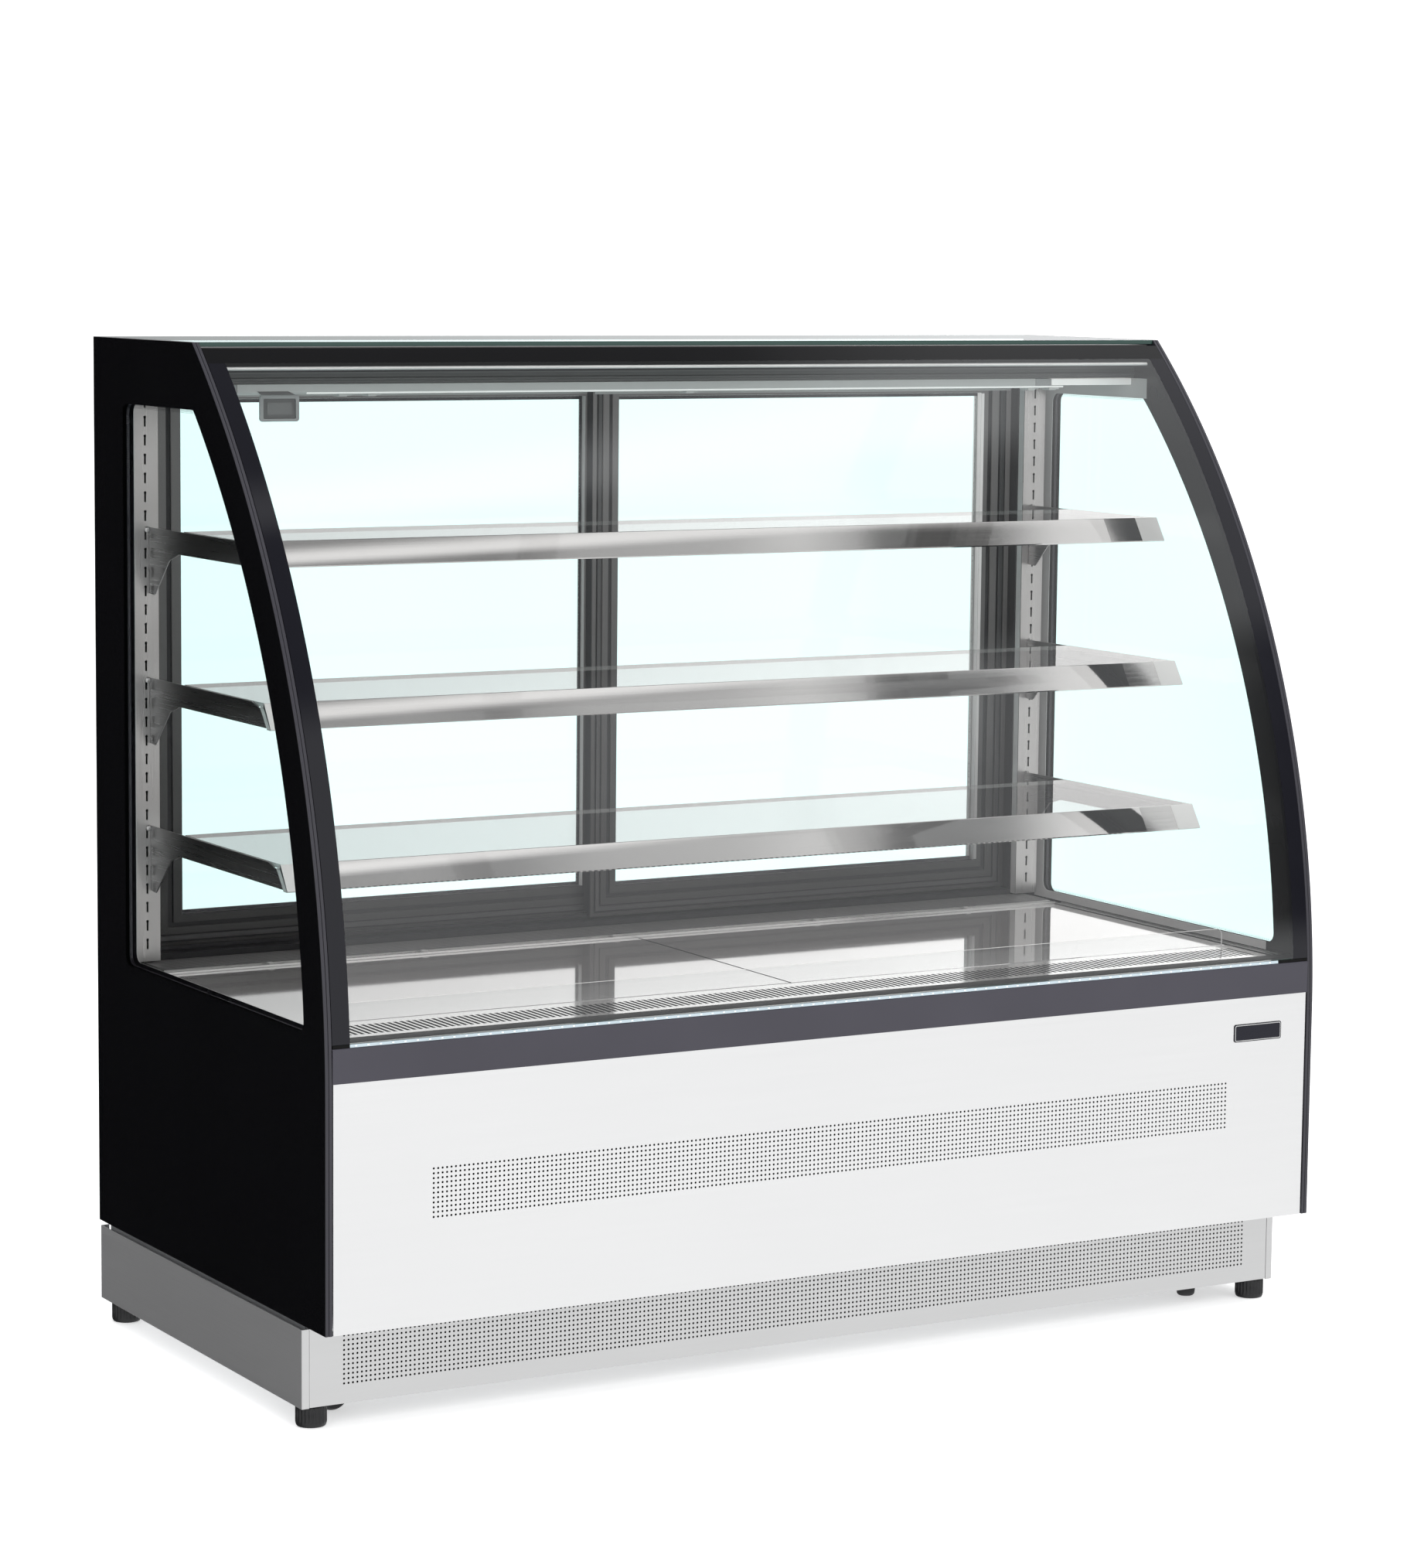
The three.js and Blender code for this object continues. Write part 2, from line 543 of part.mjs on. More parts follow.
const lampSection = [
  [436, canopyZ[0] - GAP], [436, 1269], [440, 1266], [458, 1266], [462, 1269],
  [462, canopyZ[0] - GAP],
];
piece(top, "canopy_lamp", runX(lampSection, -733, 733), LOOK.diffuser);
const displayOutline = [
  ...corner(-585, 1234.6, 3, -90, 0), ...corner(-585, 1262.7, 3, 0, 90),
  ...corner(-634.6, 1262.7, 3, 90, 180), ...corner(-634.6, 1234.6, 3, 180, 270),
];
piece(top, "temperature_display", runY(displayOutline, 440, 452), LOOK.display);

// ---------------------------------------------------------------- front glass
// The glass hangs from a bar behind its top edge and lifts forwards about HINGE.
const frontGlass = group();
const HINGE = { d: 399.5, z: 1326.5 };
const outerFace = arcPoints(FRONT_GLASS_BOTTOM_Z, FRONT_GLASS_TOP_Z);
const innerFace = arcPoints(FRONT_GLASS_BOTTOM_Z, FRONT_GLASS_TOP_Z - 4.4, FRONT_GLASS);
piece(frontGlass, "front_glass", runX([...innerFace, ...outerFace.slice().reverse()],
  -SPAN_X, SPAN_X), LOOK.clearGlass);
const barOuter = arcPoints(1304, 1321.5, FRONT_GLASS + GAP, 3);
const barInner = arcPoints(1297, 1314, FRONT_GLASS + 9, 3);
piece(frontGlass, "glass_hinge_bar", runX([...barInner, [HINGE.d + 5.5, 1320], ...barOuter.reverse()],
  -735, 735), LOOK.blackFrame);

// ---------------------------------------------------------------- cooling unit
const cooling = group();
function bladedRotor(hubRadius, tipRadius, width, blades) {
  const hub = turned([[0, -width / 2], [hubRadius, -width / 2], [hubRadius, width / 2],
    [0, width / 2]], 20);
  const blade = new THREE.BoxGeometry(tipRadius - hubRadius + 3, tipRadius * 0.42, 1.6)
    .translate((tipRadius + hubRadius - 3) / 2, 0, 0).rotateX(THREE.MathUtils.degToRad(28));
  const turns = [];
  for (let i = 0; i < blades; i += 1) {
    turns.push(blade.clone().rotateZ((i * 2 * Math.PI) / blades));
  }
  return join(hub, ...turns).rotateX(Math.PI / 2);
}

// Coil block with a ring shroud on its rear face for the fan.
const CONDENSER = { x: -330, z: 226, w: 300, h: 190, d0: 150, d1: 190 };
const shroudRing = (inner, outer, d0, d1) => cut(
  turned([[0, 0], [outer, 0], [outer, d1 - d0], [0, d1 - d0]], 28),
  turned([[0, -1], [inner, -1], [inner, d1 - d0 + 1], [0, d1 - d0 + 1]], 28))
  .rotateX(-Math.PI / 2);
const condenserFeet = [-1, 1].map((s) => block(
  CONDENSER.x + s * 140 - 10, CONDENSER.x + s * 140 + 10, CONDENSER.d0, CONDENSER.d1 + 50,
  BASE_Z[1] + GAP, CONDENSER.z - CONDENSER.h / 2 + 3));
piece(cooling, "condenser", join(
  block(CONDENSER.x - CONDENSER.w / 2, CONDENSER.x + CONDENSER.w / 2, CONDENSER.d0,
    CONDENSER.d1, CONDENSER.z - CONDENSER.h / 2, CONDENSER.z + CONDENSER.h / 2),
  shroudRing(88, 93, 0, 52).translate(CONDENSER.x, fromFront(CONDENSER.d1 - 1), CONDENSER.z),
  ...condenserFeet), LOOK.fins);
const condenserFan = piece(cooling, "condenser_fan", bladedRotor(26, 83, 26, 5), LOOK.blackPlastic);
condenserFan.position.set(CONDENSER.x, fromFront(CONDENSER.d1 + 28), CONDENSER.z);

const COMPRESSOR = { x: -330, d: 430 };
const dome = turned([[0, 126], [62, 126], [78, 134], [82, 150], [82, 178], [85, 180], [85, 186],
  [80, 188], [80, 240], [70, 268], [44, 286], [0, 292]], 28)
  .translate(COMPRESSOR.x, fromFront(COMPRESSOR.d), 0);
const compressorFoot = block(COMPRESSOR.x - 105, COMPRESSOR.x + 105, COMPRESSOR.d - 70,
  COMPRESSOR.d + 70, BASE_Z[1] + 8, BASE_Z[1] + 16);
const compressorPads = [[-90, -55], [90, -55], [-90, 55], [90, 55]].map(([x, d]) => turned([
  [0, BASE_Z[1] + GAP], [12, BASE_Z[1] + GAP], [12, BASE_Z[1] + 10], [0, BASE_Z[1] + 10]], 12)
  .translate(COMPRESSOR.x + x, fromFront(COMPRESSOR.d + d), 0));
piece(cooling, "compressor", join(dome, compressorFoot, ...compressorPads), LOOK.compressor);

// Finned coil on two feet, with a sheet duct in front that carries the fan.
const EVAPORATOR = { x0: -560, x1: 420, d0: 330, d1: 440, z0: 384, z1: 454 };
const DUCT_Z = [376, 462];
const EVAP_FAN = { x: 0, d: 236, z: 420 };
const plateD = [EVAP_FAN.d - 26, EVAP_FAN.d - 26 + SHEET];
const evaporatorFeet = [EVAPORATOR.x0 + 20, EVAPORATOR.x1 - 50].map((x) => block(
  x, x + 30, EVAPORATOR.d0 + 20, EVAPORATOR.d1 - 20, WELL_FLOOR_Z[1] + GAP, EVAPORATOR.z0 + 2));
const ductCheeks = [EVAPORATOR.x0, EVAPORATOR.x1 - SHEET].map((x) => block(
  x, x + SHEET, plateD[0], EVAPORATOR.d0 + 1, ...DUCT_Z));
const fanPlate = cut(
  block(EVAPORATOR.x0, EVAPORATOR.x1, ...plateD, ...DUCT_Z),
  turned([[0, -60], [44, -60], [44, 60], [0, 60]], 28).rotateX(Math.PI / 2)
    .translate(EVAP_FAN.x, fromFront(EVAP_FAN.d - 23), EVAP_FAN.z));
const coil = block(EVAPORATOR.x0, EVAPORATOR.x1, EVAPORATOR.d0, EVAPORATOR.d1,
  EVAPORATOR.z0, EVAPORATOR.z1);
piece(cooling, "evaporator", join(coil, ...evaporatorFeet, ...ductCheeks, fanPlate), LOOK.fins);
const evaporatorFan = piece(cooling, "evaporator_fan", bladedRotor(16, 40, 22, 5),
  LOOK.blackPlastic);
evaporatorFan.position.set(EVAP_FAN.x, fromFront(EVAP_FAN.d), EVAP_FAN.z);

// ---------------------------------------------------------------- controls
const controls = group();
const boxX = [CONTROL.x - CONTROL.w / 2, CONTROL.x + CONTROL.w / 2];
const boxZ = [CONTROL.z - CONTROL.h / 2, CONTROL.z + CONTROL.h / 2];
const SWITCH = { x: CONTROL.x + 46, z: CONTROL.z, w: 15, h: 22 };
const controller = cut(
  join(
    block(boxX[0] + 8, boxX[1] - 8, 676, DEPTH - 2.2, boxZ[0] + 8, boxZ[1] - 8),
    block(boxX[0] + 6.5, boxX[1] - 6.5, DEPTH - 3, DEPTH - 0.2, boxZ[0] + 6.5, boxZ[1] - 6.5)),
  block(SWITCH.x - SWITCH.w / 2 - 1, SWITCH.x + SWITCH.w / 2 + 1, DEPTH - 16, DEPTH + 4,
    SWITCH.z - SWITCH.h / 2 - 1.5, SWITCH.z + SWITCH.h / 2 + 1.5));
piece(controls, "controller", controller, LOOK.blackPlastic);
// The rocker turns about an axle behind its face and rests tipped to one side.
const ROCKER_AXLE = 9;
const rocker = runX([
  [-2, -2], [-2, 2], [5, SWITCH.h / 2], [7.6, SWITCH.h / 2], [5.4, 0],
  [7.6, -SWITCH.h / 2], [5, -SWITCH.h / 2],
].map(([d, z]) => [DEPTH / 2 + d, z]).reverse(), -SWITCH.w / 2, SWITCH.w / 2);
const powerSwitch = piece(controls, "power_switch", rocker, LOOK.blackPlastic);
powerSwitch.position.set(SWITCH.x, fromFront(DEPTH - ROCKER_AXLE), SWITCH.z);
powerSwitch.rotation.x = THREE.MathUtils.degToRad(6);

export default deliCase;
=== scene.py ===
"""Looks of the refrigerated deli case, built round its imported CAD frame.

Sizes are in millimetres until they reach Blender. A point is (x, d, z): x along the case from
its middle, d behind the front plane, z above the floor.
"""
import math

import bmesh
import bpy
from mathutils import Matrix, Vector
from mathutils.geometry import tessellate_polygon


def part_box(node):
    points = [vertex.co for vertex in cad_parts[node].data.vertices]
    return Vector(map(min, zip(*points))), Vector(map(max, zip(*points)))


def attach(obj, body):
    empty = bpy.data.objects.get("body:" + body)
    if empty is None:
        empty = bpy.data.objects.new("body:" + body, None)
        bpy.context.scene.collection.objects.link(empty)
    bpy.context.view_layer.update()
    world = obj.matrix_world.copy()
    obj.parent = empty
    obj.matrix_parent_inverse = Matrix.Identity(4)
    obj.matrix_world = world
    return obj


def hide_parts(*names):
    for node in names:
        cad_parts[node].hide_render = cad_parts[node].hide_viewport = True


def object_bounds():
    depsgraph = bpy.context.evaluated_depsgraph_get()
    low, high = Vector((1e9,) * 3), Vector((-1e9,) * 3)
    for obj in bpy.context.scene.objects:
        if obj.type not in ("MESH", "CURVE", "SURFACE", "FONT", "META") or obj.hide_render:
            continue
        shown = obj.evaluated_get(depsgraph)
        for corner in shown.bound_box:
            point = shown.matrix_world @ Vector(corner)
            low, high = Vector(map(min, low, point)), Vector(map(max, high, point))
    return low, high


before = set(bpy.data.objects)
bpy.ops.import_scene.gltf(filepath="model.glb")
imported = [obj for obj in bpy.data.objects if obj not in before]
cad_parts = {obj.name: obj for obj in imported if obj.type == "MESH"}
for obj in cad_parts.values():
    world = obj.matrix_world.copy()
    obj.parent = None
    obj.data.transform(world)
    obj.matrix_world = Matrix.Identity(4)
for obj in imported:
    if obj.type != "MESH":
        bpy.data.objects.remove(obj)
cad_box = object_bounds()

# -------- sizes
MM = 0.001
DEPTH = round((cad_box[1].y - cad_box[0].y) / MM, 3)
HALF = round(cad_box[1].x / MM, 3)
HEIGHT = round(cad_box[1].z / MM, 3)
ARC_RADIUS = 1240.0
ARC_START_Z = 424.0
BODY_BOTTOM_Z = 135.5


def corner_mm(node, index):
    """Lowest (0) or highest (1) corner of a CAD node as (x, d, z)."""
    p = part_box(node)[index]
    return p.x / MM, p.y / MM + DEPTH / 2, p.z / MM


def corners_mm(node):
    return corner_mm(node, 0), corner_mm(node, 1)


def spot(x, d, z):
    return Vector((x * MM, (d - DEPTH / 2) * MM, z * MM))


# -------- materials
def new_material(name):
    material = bpy.data.materials.new(name)
    material.use_nodes = True
    tree = material.node_tree
    tree.nodes.clear()
    return material, tree


def add(tree, kind, **values):
    node = tree.nodes.new(kind)
    for key, value in values.items():
        if hasattr(node, key) and key not in node.inputs:
            setattr(node, key, value)
        else:
            node.inputs[key].default_value = value
    return node


def link(tree, a, out, b, into):
    tree.links.new(a.outputs[out], b.inputs[into])


def maths(tree, operation, a, b, clamp=False):
    """A Math node; a and b are numbers or output sockets."""
    node = add(tree, "ShaderNodeMath", operation=operation, use_clamp=clamp)
    for i, value in enumerate((a, b)):
        if isinstance(value, (int, float)):
            node.inputs[i].default_value = value
        else:
            tree.links.new(value, node.inputs[i])
    return node.outputs[0]


def ramp(tree, value, low, high, to_low=0.0, to_high=1.0, kind="LINEAR"):
    node = add(tree, "ShaderNodeMapRange", interpolation_type=kind,
               **{"From Min": low, "From Max": high, "To Min": to_low, "To Max": to_high})
    tree.links.new(value, node.inputs["Value"])
    return node.outputs["Result"]


def noise(tree, scale, detail):
    """Noise in the object's own space; scale is its stretch along x, y and z per metre."""
    where = add(tree, "ShaderNodeTexCoord")
    mapping = add(tree, "ShaderNodeMapping", Scale=scale)
    link(tree, where, "Object", mapping, "Vector")
    node = add(tree, "ShaderNodeTexNoise", Scale=1.0, Detail=detail)
    link(tree, mapping, "Vector", node, "Vector")
    return node.outputs["Fac"]


def mix_shaders(tree, factor, first, second):
    node = add(tree, "ShaderNodeMixShader")
    for i, socket in enumerate((factor, first.outputs[0], second.outputs[0])):
        tree.links.new(socket, node.inputs[i])
    return node


def surface(tree, shader):
    end = add(tree, "ShaderNodeOutputMaterial")
    link(tree, shader, 0, end, "Surface")


def clouded(name, colour, low, high, scale, detail, **values):
    """Principled surface whose colour drifts softly between two shares of itself."""
    material, tree = new_material(name)
    shader = add(tree, "ShaderNodeBsdfPrincipled", **values)
    cloud = noise(tree, (scale,) * 3, detail)
    tint = add(tree, "ShaderNodeMix", data_type="RGBA")
    tint.inputs[6].default_value = (*(c * low for c in colour), 1)
    tint.inputs[7].default_value = (*(min(1, c * high) for c in colour), 1)
    tree.links.new(cloud, tint.inputs[0])
    link(tree, tint, 2, shader, "Base Color")
    return material, tree, shader, cloud


def roughen(tree, shader, source, low, high, grain, strength, distance):
    """Roughness from low to high over source, and a fine bump from grain."""
    tree.links.new(ramp(tree, source, 0.3, 0.7, low, high), shader.inputs["Roughness"])
    lift = add(tree, "ShaderNodeBump", Strength=strength, Distance=distance)
    tree.links.new(grain, lift.inputs["Height"])
    link(tree, lift, "Normal", shader, "Normal")
    surface(tree, shader)


def steel(name, colour, rough, streaks, spread=0.08, bump=0.02, shade=0.06, metallic=1.0):
    """Brushed or polished sheet; streaks is the stretch of the grain."""
    material, tree, shader, _ = clouded(name, colour, 1 - shade, 1 + shade * 0.5, 3, 2.0,
                                        Metallic=metallic)
    grain = noise(tree, streaks, 4.0)
    roughen(tree, shader, grain, max(rough - spread, 0.01), rough + spread, grain, bump, 0.0004)
    return material


def coat(name, colour, rough, spread=0.05, grain=900, bump=0.05, specular=0.5):
    """Paint, powder coat, moulded plastic or rubber with a fine surface grain."""
    material, tree, shader, cloud = clouded(name, colour, 0.85, 1.15, 6, 3.0,
                                            **{"Specular IOR Level": specular})
    fine = noise(tree, (grain,) * 3, 2.0)
    roughen(tree, shader, cloud, max(rough - spread, 0.02), rough + spread, fine, bump, 0.0002)
    return material


def pane(name, tint, shine=1.0, ior=1.5, rough=0.015, mirrored=(0.97, 0.99, 1)):
    """Clear sheet glass: it mirrors by Fresnel on the side that is met first."""
    material, tree = new_material(name)
    through = add(tree, "ShaderNodeBsdfTransparent", Color=(*tint, 1))
    mirror = add(tree, "ShaderNodeBsdfPrincipled", Metallic=1.0,
                 **{"Base Color": (*mirrored, 1)})
    smear = ramp(tree, noise(tree, (2, 2, 2), 3.0), 0.35, 0.7, rough * 0.5, rough * 2)
    tree.links.new(smear, mirror.inputs["Roughness"])
    fresnel = add(tree, "ShaderNodeFresnel", IOR=ior)
    side = add(tree, "ShaderNodeNewGeometry")
    front = maths(tree, "SUBTRACT", 1.0, side.outputs["Backfacing"])
    strong = maths(tree, "MULTIPLY", fresnel.outputs["Fac"], shine)
    clipped = maths(tree, "MULTIPLY", strong, front, clamp=True)
    surface(tree, mix_shaders(tree, clipped, through, mirror))
    return material


# Self-lit surface: the lamps use it, and it also paints a glow on parts that are no lamp.
def glow(name, colour, strength, base):
    material, tree, shader, _ = clouded(name, (base,) * 3, 0.94, 1, 30, 2.0, Roughness=0.4,
                                        **{"Emission Color": (*colour, 1),
                                           "Emission Strength": strength})
    surface(tree, shader)
    return material


def painted_lamplight(name, base, strength, low, high):
    """A dull profile with painted lamp light: its glow rises from height low up to high, metres, so
    it is lighter towards the top as if the canopy lamp fell on it.
    """
    material, tree, shader, _ = clouded(name, (base,) * 3, 0.9, 1.1, 30, 2.0, Roughness=0.4,
                                        **{"Emission Color": (1, 1, 1, 1)})
    where = add(tree, "ShaderNodeTexCoord")
    parts = add(tree, "ShaderNodeSeparateXYZ")
    link(tree, where, "Object", parts, "Vector")
    rise = ramp(tree, parts.outputs["Z"], low, high, 0.0, strength)
    tree.links.new(rise, shader.inputs["Emission Strength"])
    surface(tree, shader)
    return material


ENAMEL = coat("black_enamel", (0.0030, 0.0030, 0.0036), 0.07, 0.03, 60, 0.0, specular=0.3)
FRONT_FRIT = coat("front_glass_border", (0.004, 0.004, 0.007), 0.07, 0.03, 60, 0.0,
                  specular=0.38)
FRIT = coat("frit_edge", (0.003, 0.003, 0.004), 0.3, 0.05, 600, 0.01, specular=0.25)
CLEAR = pane("clear_glass", (0.996, 0.998, 0.996), 0.6, 1.45)
SHELF_CLEAR = pane("shelf_glass", (0.835, 0.82, 0.82), 1.0, 1.5, mirrored=(0.68, 0.66, 0.66))
FRONT_CLEAR = pane("front_clear_glass", (1.0, 0.995, 0.99), 1.7, 1.5)
ACRYLIC = pane("clear_acrylic", (0.97, 0.975, 0.975), 1.0, 1.5)
# Painted highlight: the acrylic guard's edges glow so they show as a light line.
ACRYLIC_EDGE_PAINTED_GLOW = glow("acrylic_edge_painted_glow", (1, 1, 1), 0.12, 0.62)
FROSTED = coat("frosted_strip", (0.42, 0.50, 0.54), 0.35, 0.05, 300, 0.0)
DUCT = coat("dark_duct", (0.006, 0.006, 0.006), 0.6, 0.05, 300, 0.02, specular=0.1)
FILTER = coat("dark_filter", (0.004, 0.004, 0.004), 0.8, 0.05, 1500, 0.05, specular=0.05)
GLASS_EDGE = coat("glass_edge", (0.022, 0.055, 0.046), 0.12, 0.04, 80, 0.0, specular=0.5)
SHELF_EDGE = coat("shelf_glass_edge", (0.34, 0.355, 0.35), 0.15, 0.04, 80, 0.0)
RAIL = coat("rail_anodised", (0.046, 0.044, 0.056), 0.4, 0.04, 1200, 0.008, specular=0.35)
STRIP = coat("end_strip_grey", (0.030, 0.029, 0.036), 0.3, 0.04, 900, 0.01, specular=0.4)
SATIN = steel("satin_steel_panel", (0.985, 0.985, 0.98), 0.34, (5, 5, 900), 0.05, 0.015, 0.02)
PLINTH = steel("satin_steel_plinth", (0.75, 0.75, 0.745), 0.34, (5, 5, 900), 0.05, 0.015, 0.04)
SIDE = steel("brushed_steel_side", (0.54, 0.54, 0.545), 0.36, (5, 5, 900), 0.07, 0.03, 0.05,
             0.75)
TRIM_END = steel("trim_end_piece", (0.80, 0.80, 0.795), 0.4, (4, 4, 700), 0.06, 0.02, 0.06, 0.6)
TRIM_BEND = steel("trim_bend", (0.78, 0.78, 0.775), 0.2, (4, 4, 700), 0.05, 0.02, 0.06)
TRIM = steel("polished_trim", (0.78, 0.78, 0.775), 0.035, (4, 4, 700), 0.02, 0.02, 0.06)
DECK = steel("polished_deck", (0.72, 0.71, 0.71), 0.05, (3, 60, 3), 0.01, 0.0, 0.05, 0.70)
GRILLE = steel("polished_grille", (0.78, 0.775, 0.77), 0.10, (3, 60, 3), 0.02, 0.0, 0.04, 0.70)
UPRIGHT = steel("brushed_upright", (0.54, 0.535, 0.53), 0.32, (700, 5, 5), 0.06, 0.015, 0.08)
# Painted highlight: a light matt grey on the upright flanges and the front glass seal makes them
# show as bright lines.
LIGHT_GREY_PAINTED_HIGHLIGHT = coat("light_grey_painted_highlight", (0.66, 0.66, 0.66), 0.45, 0.05, 800, 0.01)
ARM = steel("polished_arm", (0.42, 0.42, 0.425), 0.3, (5, 5, 600), 0.05, 0.02, 0.08)
ZINC = steel("galvanised", (0.56, 0.58, 0.59), 0.42, (60, 60, 60), 0.1, 0.03, 0.12)
BOLT = steel("bolt_steel", (0.66, 0.66, 0.66), 0.28, (200, 200, 200), 0.08, 0.02, 0.05)
DARK = coat("black_profile", (0.017, 0.017, 0.019), 0.36, 0.05, 700, 0.004, specular=0.4)
RIDGE = coat("profile_ridge", (0.060, 0.060, 0.062), 0.34, 0.05, 700, 0.004, specular=0.5)
# Painted lamp light: the door reveal and the door profile's inner face glow more towards the top.
REVEAL_PAINTED_LIGHT = painted_lamplight("door_reveal_painted_light", 0.34, 0.40, 0.55, 1.15)
FACE = painted_lamplight("profile_inner_face_painted_light", 0.045, 0.075, 0.60, 1.20)
CANOPY = coat("grey_canopy_profile", (0.065, 0.065, 0.065), 0.4, 0.05, 700, 0.004)
BRIGHT = steel("bright_aluminium", (0.74, 0.74, 0.735), 0.28, (4, 4, 500), 0.06, 0.01, 0.04)
LINER = coat("light_liner", (0.42, 0.43, 0.44), 0.42, 0.06, 700, 0.04)
RIBBED = coat("ribbed_strip", (0.11, 0.11, 0.11), 0.38, 0.05, 900, 0.04)
# Opal white with a faint glow: on the canopy lamp's diffuser the glow is the lamp's own light; on
# the lamp clips, the rear rail clips and the right door's spacer it is a painted glow.
OPAL = glow("opal_lamp_and_painted_glow", (1, 1, 0.98), 0.04, 0.42)
# Painted glow: brighter opal for the lamp's driver cover, which is no lamp, and a painted highlight
# along the lamp's lower lip.
OPAL_PAINTED_GLOW = glow("opal_painted_glow", (1, 1, 0.98), 0.3, 0.7)
# Painted glow: lifts the end linings, the left door reveal and the door head strips where they lie
# in shade; none of them is a lamp.
LINING = glow("end_lining_painted_glow", (1, 1, 1), 0.065, 0.36)
LED = glow("led_dots", (0.9, 1, 1), 0.35, 0.8)
NYLON = coat("black_nylon", (0.012, 0.012, 0.013), 0.5, 0.08, 800, 0.12)
RUBBER = coat("black_rubber", (0.016, 0.016, 0.017), 0.72, 0.08, 1400, 0.2)
HUB = coat("grey_hub", (0.10, 0.10, 0.105), 0.45, 0.06, 800, 0.08)
FINS = steel("coil_fins", (0.72, 0.74, 0.75), 0.36, (900, 5, 5), 0.08, 0.05, 0.08)
ENGINE = coat("compressor_enamel", (0.008, 0.008, 0.009), 0.28, 0.06, 500, 0.05)
HOUSING = coat("display_housing", (0.30, 0.30, 0.305), 0.4, 0.05, 900, 0.05)
SCREEN = coat("display_screen", (0.018, 0.019, 0.021), 0.12, 0.04, 50, 0.0)
DISPLAY_FACE = coat("display_face", (0.085, 0.085, 0.087), 0.3, 0.04, 50, 0.0)
DISPLAY_WINDOW = coat("display_window", (0.145, 0.145, 0.147), 0.25, 0.04, 50, 0.0)
PLATE = coat("name_plate", (0.005, 0.005, 0.011), 0.25, 0.05, 600, 0.0, specular=0.35)


# -------- mesh code
SHARP_ANGLE = math.radians(35)
BEVEL_ANGLE = math.radians(40)


def put(name, data):
    thing = bpy.data.objects.new(name, data)
    bpy.context.scene.collection.objects.link(thing)
    return thing


class Shape:
    """Collects closed solids that become one object."""

    def __init__(self):
        self.points = []
        self.faces = []
        self.mats = []

    def point(self, x, d, z):
        self.points.append(spot(x, d, z))
        return len(self.points) - 1

    def face(self, ids, mat=0):
        self.faces.append(tuple(ids))
        self.mats.append(mat)

    def prism(self, outline, holes, w0, w1, place, mat=0, side=None, plug=None):
        """Extrudes a flat outline from w0 to w1; plug fills each hole with that material."""
        side = mat if side is None else side
        rings = [outline, *holes]
        layers = [[[self.point(*place(u, v, w)) for u, v in ring] for ring in rings]
                  for w in (w0, w1)]
        if holes:
            flat = [[Vector((u, v, 0)) for u, v in ring] for ring in rings]
            triangles = tessellate_polygon(flat)
            for layer in layers:
                every = [i for ring in layer for i in ring]
                for tri in triangles:
                    self.face([every[i] for i in tri], mat)
        else:
            for layer in layers:
                self.face(layer[0], mat)
        for r, ring in enumerate(rings):
            if r and plug is not None:
                for layer in layers:
                    self.face(layer[r], plug)
                continue
            n = len(ring)
            for i in range(n):
                j = (i + 1) % n
                self.face((layers[0][r][i], layers[0][r][j], layers[1][r][j],
                           layers[1][r][i]), side)
        return self

    def box(self, x0, x1, d0, d1, z0, z1, mat=0):
        return self.prism([(x0, d0), (x1, d0), (x1, d1), (x0, d1)], [], z0, z1, up, mat)

    def lathe(self, profile, steps, place, mat=0, lobes=0, depth=0.0, lobed=(), closed=False):
        """Turns (radius, height) pairs; both ends lie on the axis, or the profile is closed."""
        rings = []
        for k, (r, h) in enumerate(profile):
            if r == 0:
                rings.append([self.point(*place(0, 0, h))])
                continue
            ring = []
            for i in range(steps):
                a = 2 * math.pi * i / steps
                cut = depth if lobes and k in lobed and (i * lobes * 2 // steps) % 2 else 0
                ring.append(self.point(*place((r - cut) * math.cos(a), (r - cut) * math.sin(a),
                                              h)))
            rings.append(ring)
        for a, b in zip(rings, rings[1:] + rings[:1] if closed else rings[1:]):
            for i in range(steps):
                j = (i + 1) % steps
                if len(a) == 1 and len(b) > 1:
                    self.face((a[0], b[j], b[i]), mat)
                elif len(b) == 1 and len(a) > 1:
                    self.face((a[i], a[j], b[0]), mat)
                elif len(a) > 1:
                    self.face((a[i], a[j], b[j], b[i]), mat)
        return self

    def run(self, outline, x0, x1, mat=0):
        """Extrudes an outline in (d, z) along x."""
        return self.prism(outline, [], x0, x1, along_x, mat)

    def make(self, name, materials, slot, replaces=(), bevel=0.0, body="case"):
        mesh = bpy.data.meshes.new(name)
        mesh.from_pydata(self.points, [], self.faces)
        for material in materials:
            mesh.materials.append(material)
        mesh.polygons.foreach_set("material_index", self.mats)
        work = bmesh.new()
        work.from_mesh(mesh)
        bmesh.ops.remove_doubles(work, verts=work.verts, dist=1e-6)
        bmesh.ops.recalc_face_normals(work, faces=work.faces)
        for face in work.faces:
            face.smooth = True
        work.to_mesh(mesh)
        work.free()
        mesh.set_sharp_from_angle(angle=SHARP_ANGLE)
        piece = put(name, mesh)
        if bevel:
            edge = piece.modifiers.new("edge", "BEVEL")
            edge.width = bevel * MM
            edge.segments = 2
            edge.limit_method = "ANGLE"
            edge.angle_limit = BEVEL_ANGLE
            edge.harden_normals = False
        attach(piece, body)
        if replaces:
            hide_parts(*replaces)
        return piece


def up(u, v, w):
    return u, v, w


def along_x(u, v, w):
    """Outline in (d, z), run along x."""
    return w, u, v


def along_d(u, v, w):
    """Outline in (x, z), run front to back."""
    return u, w, v


def rect(u0, u1, v0, v1):
    return [(u0, v0), (u1, v0), (u1, v1), (u0, v1)]


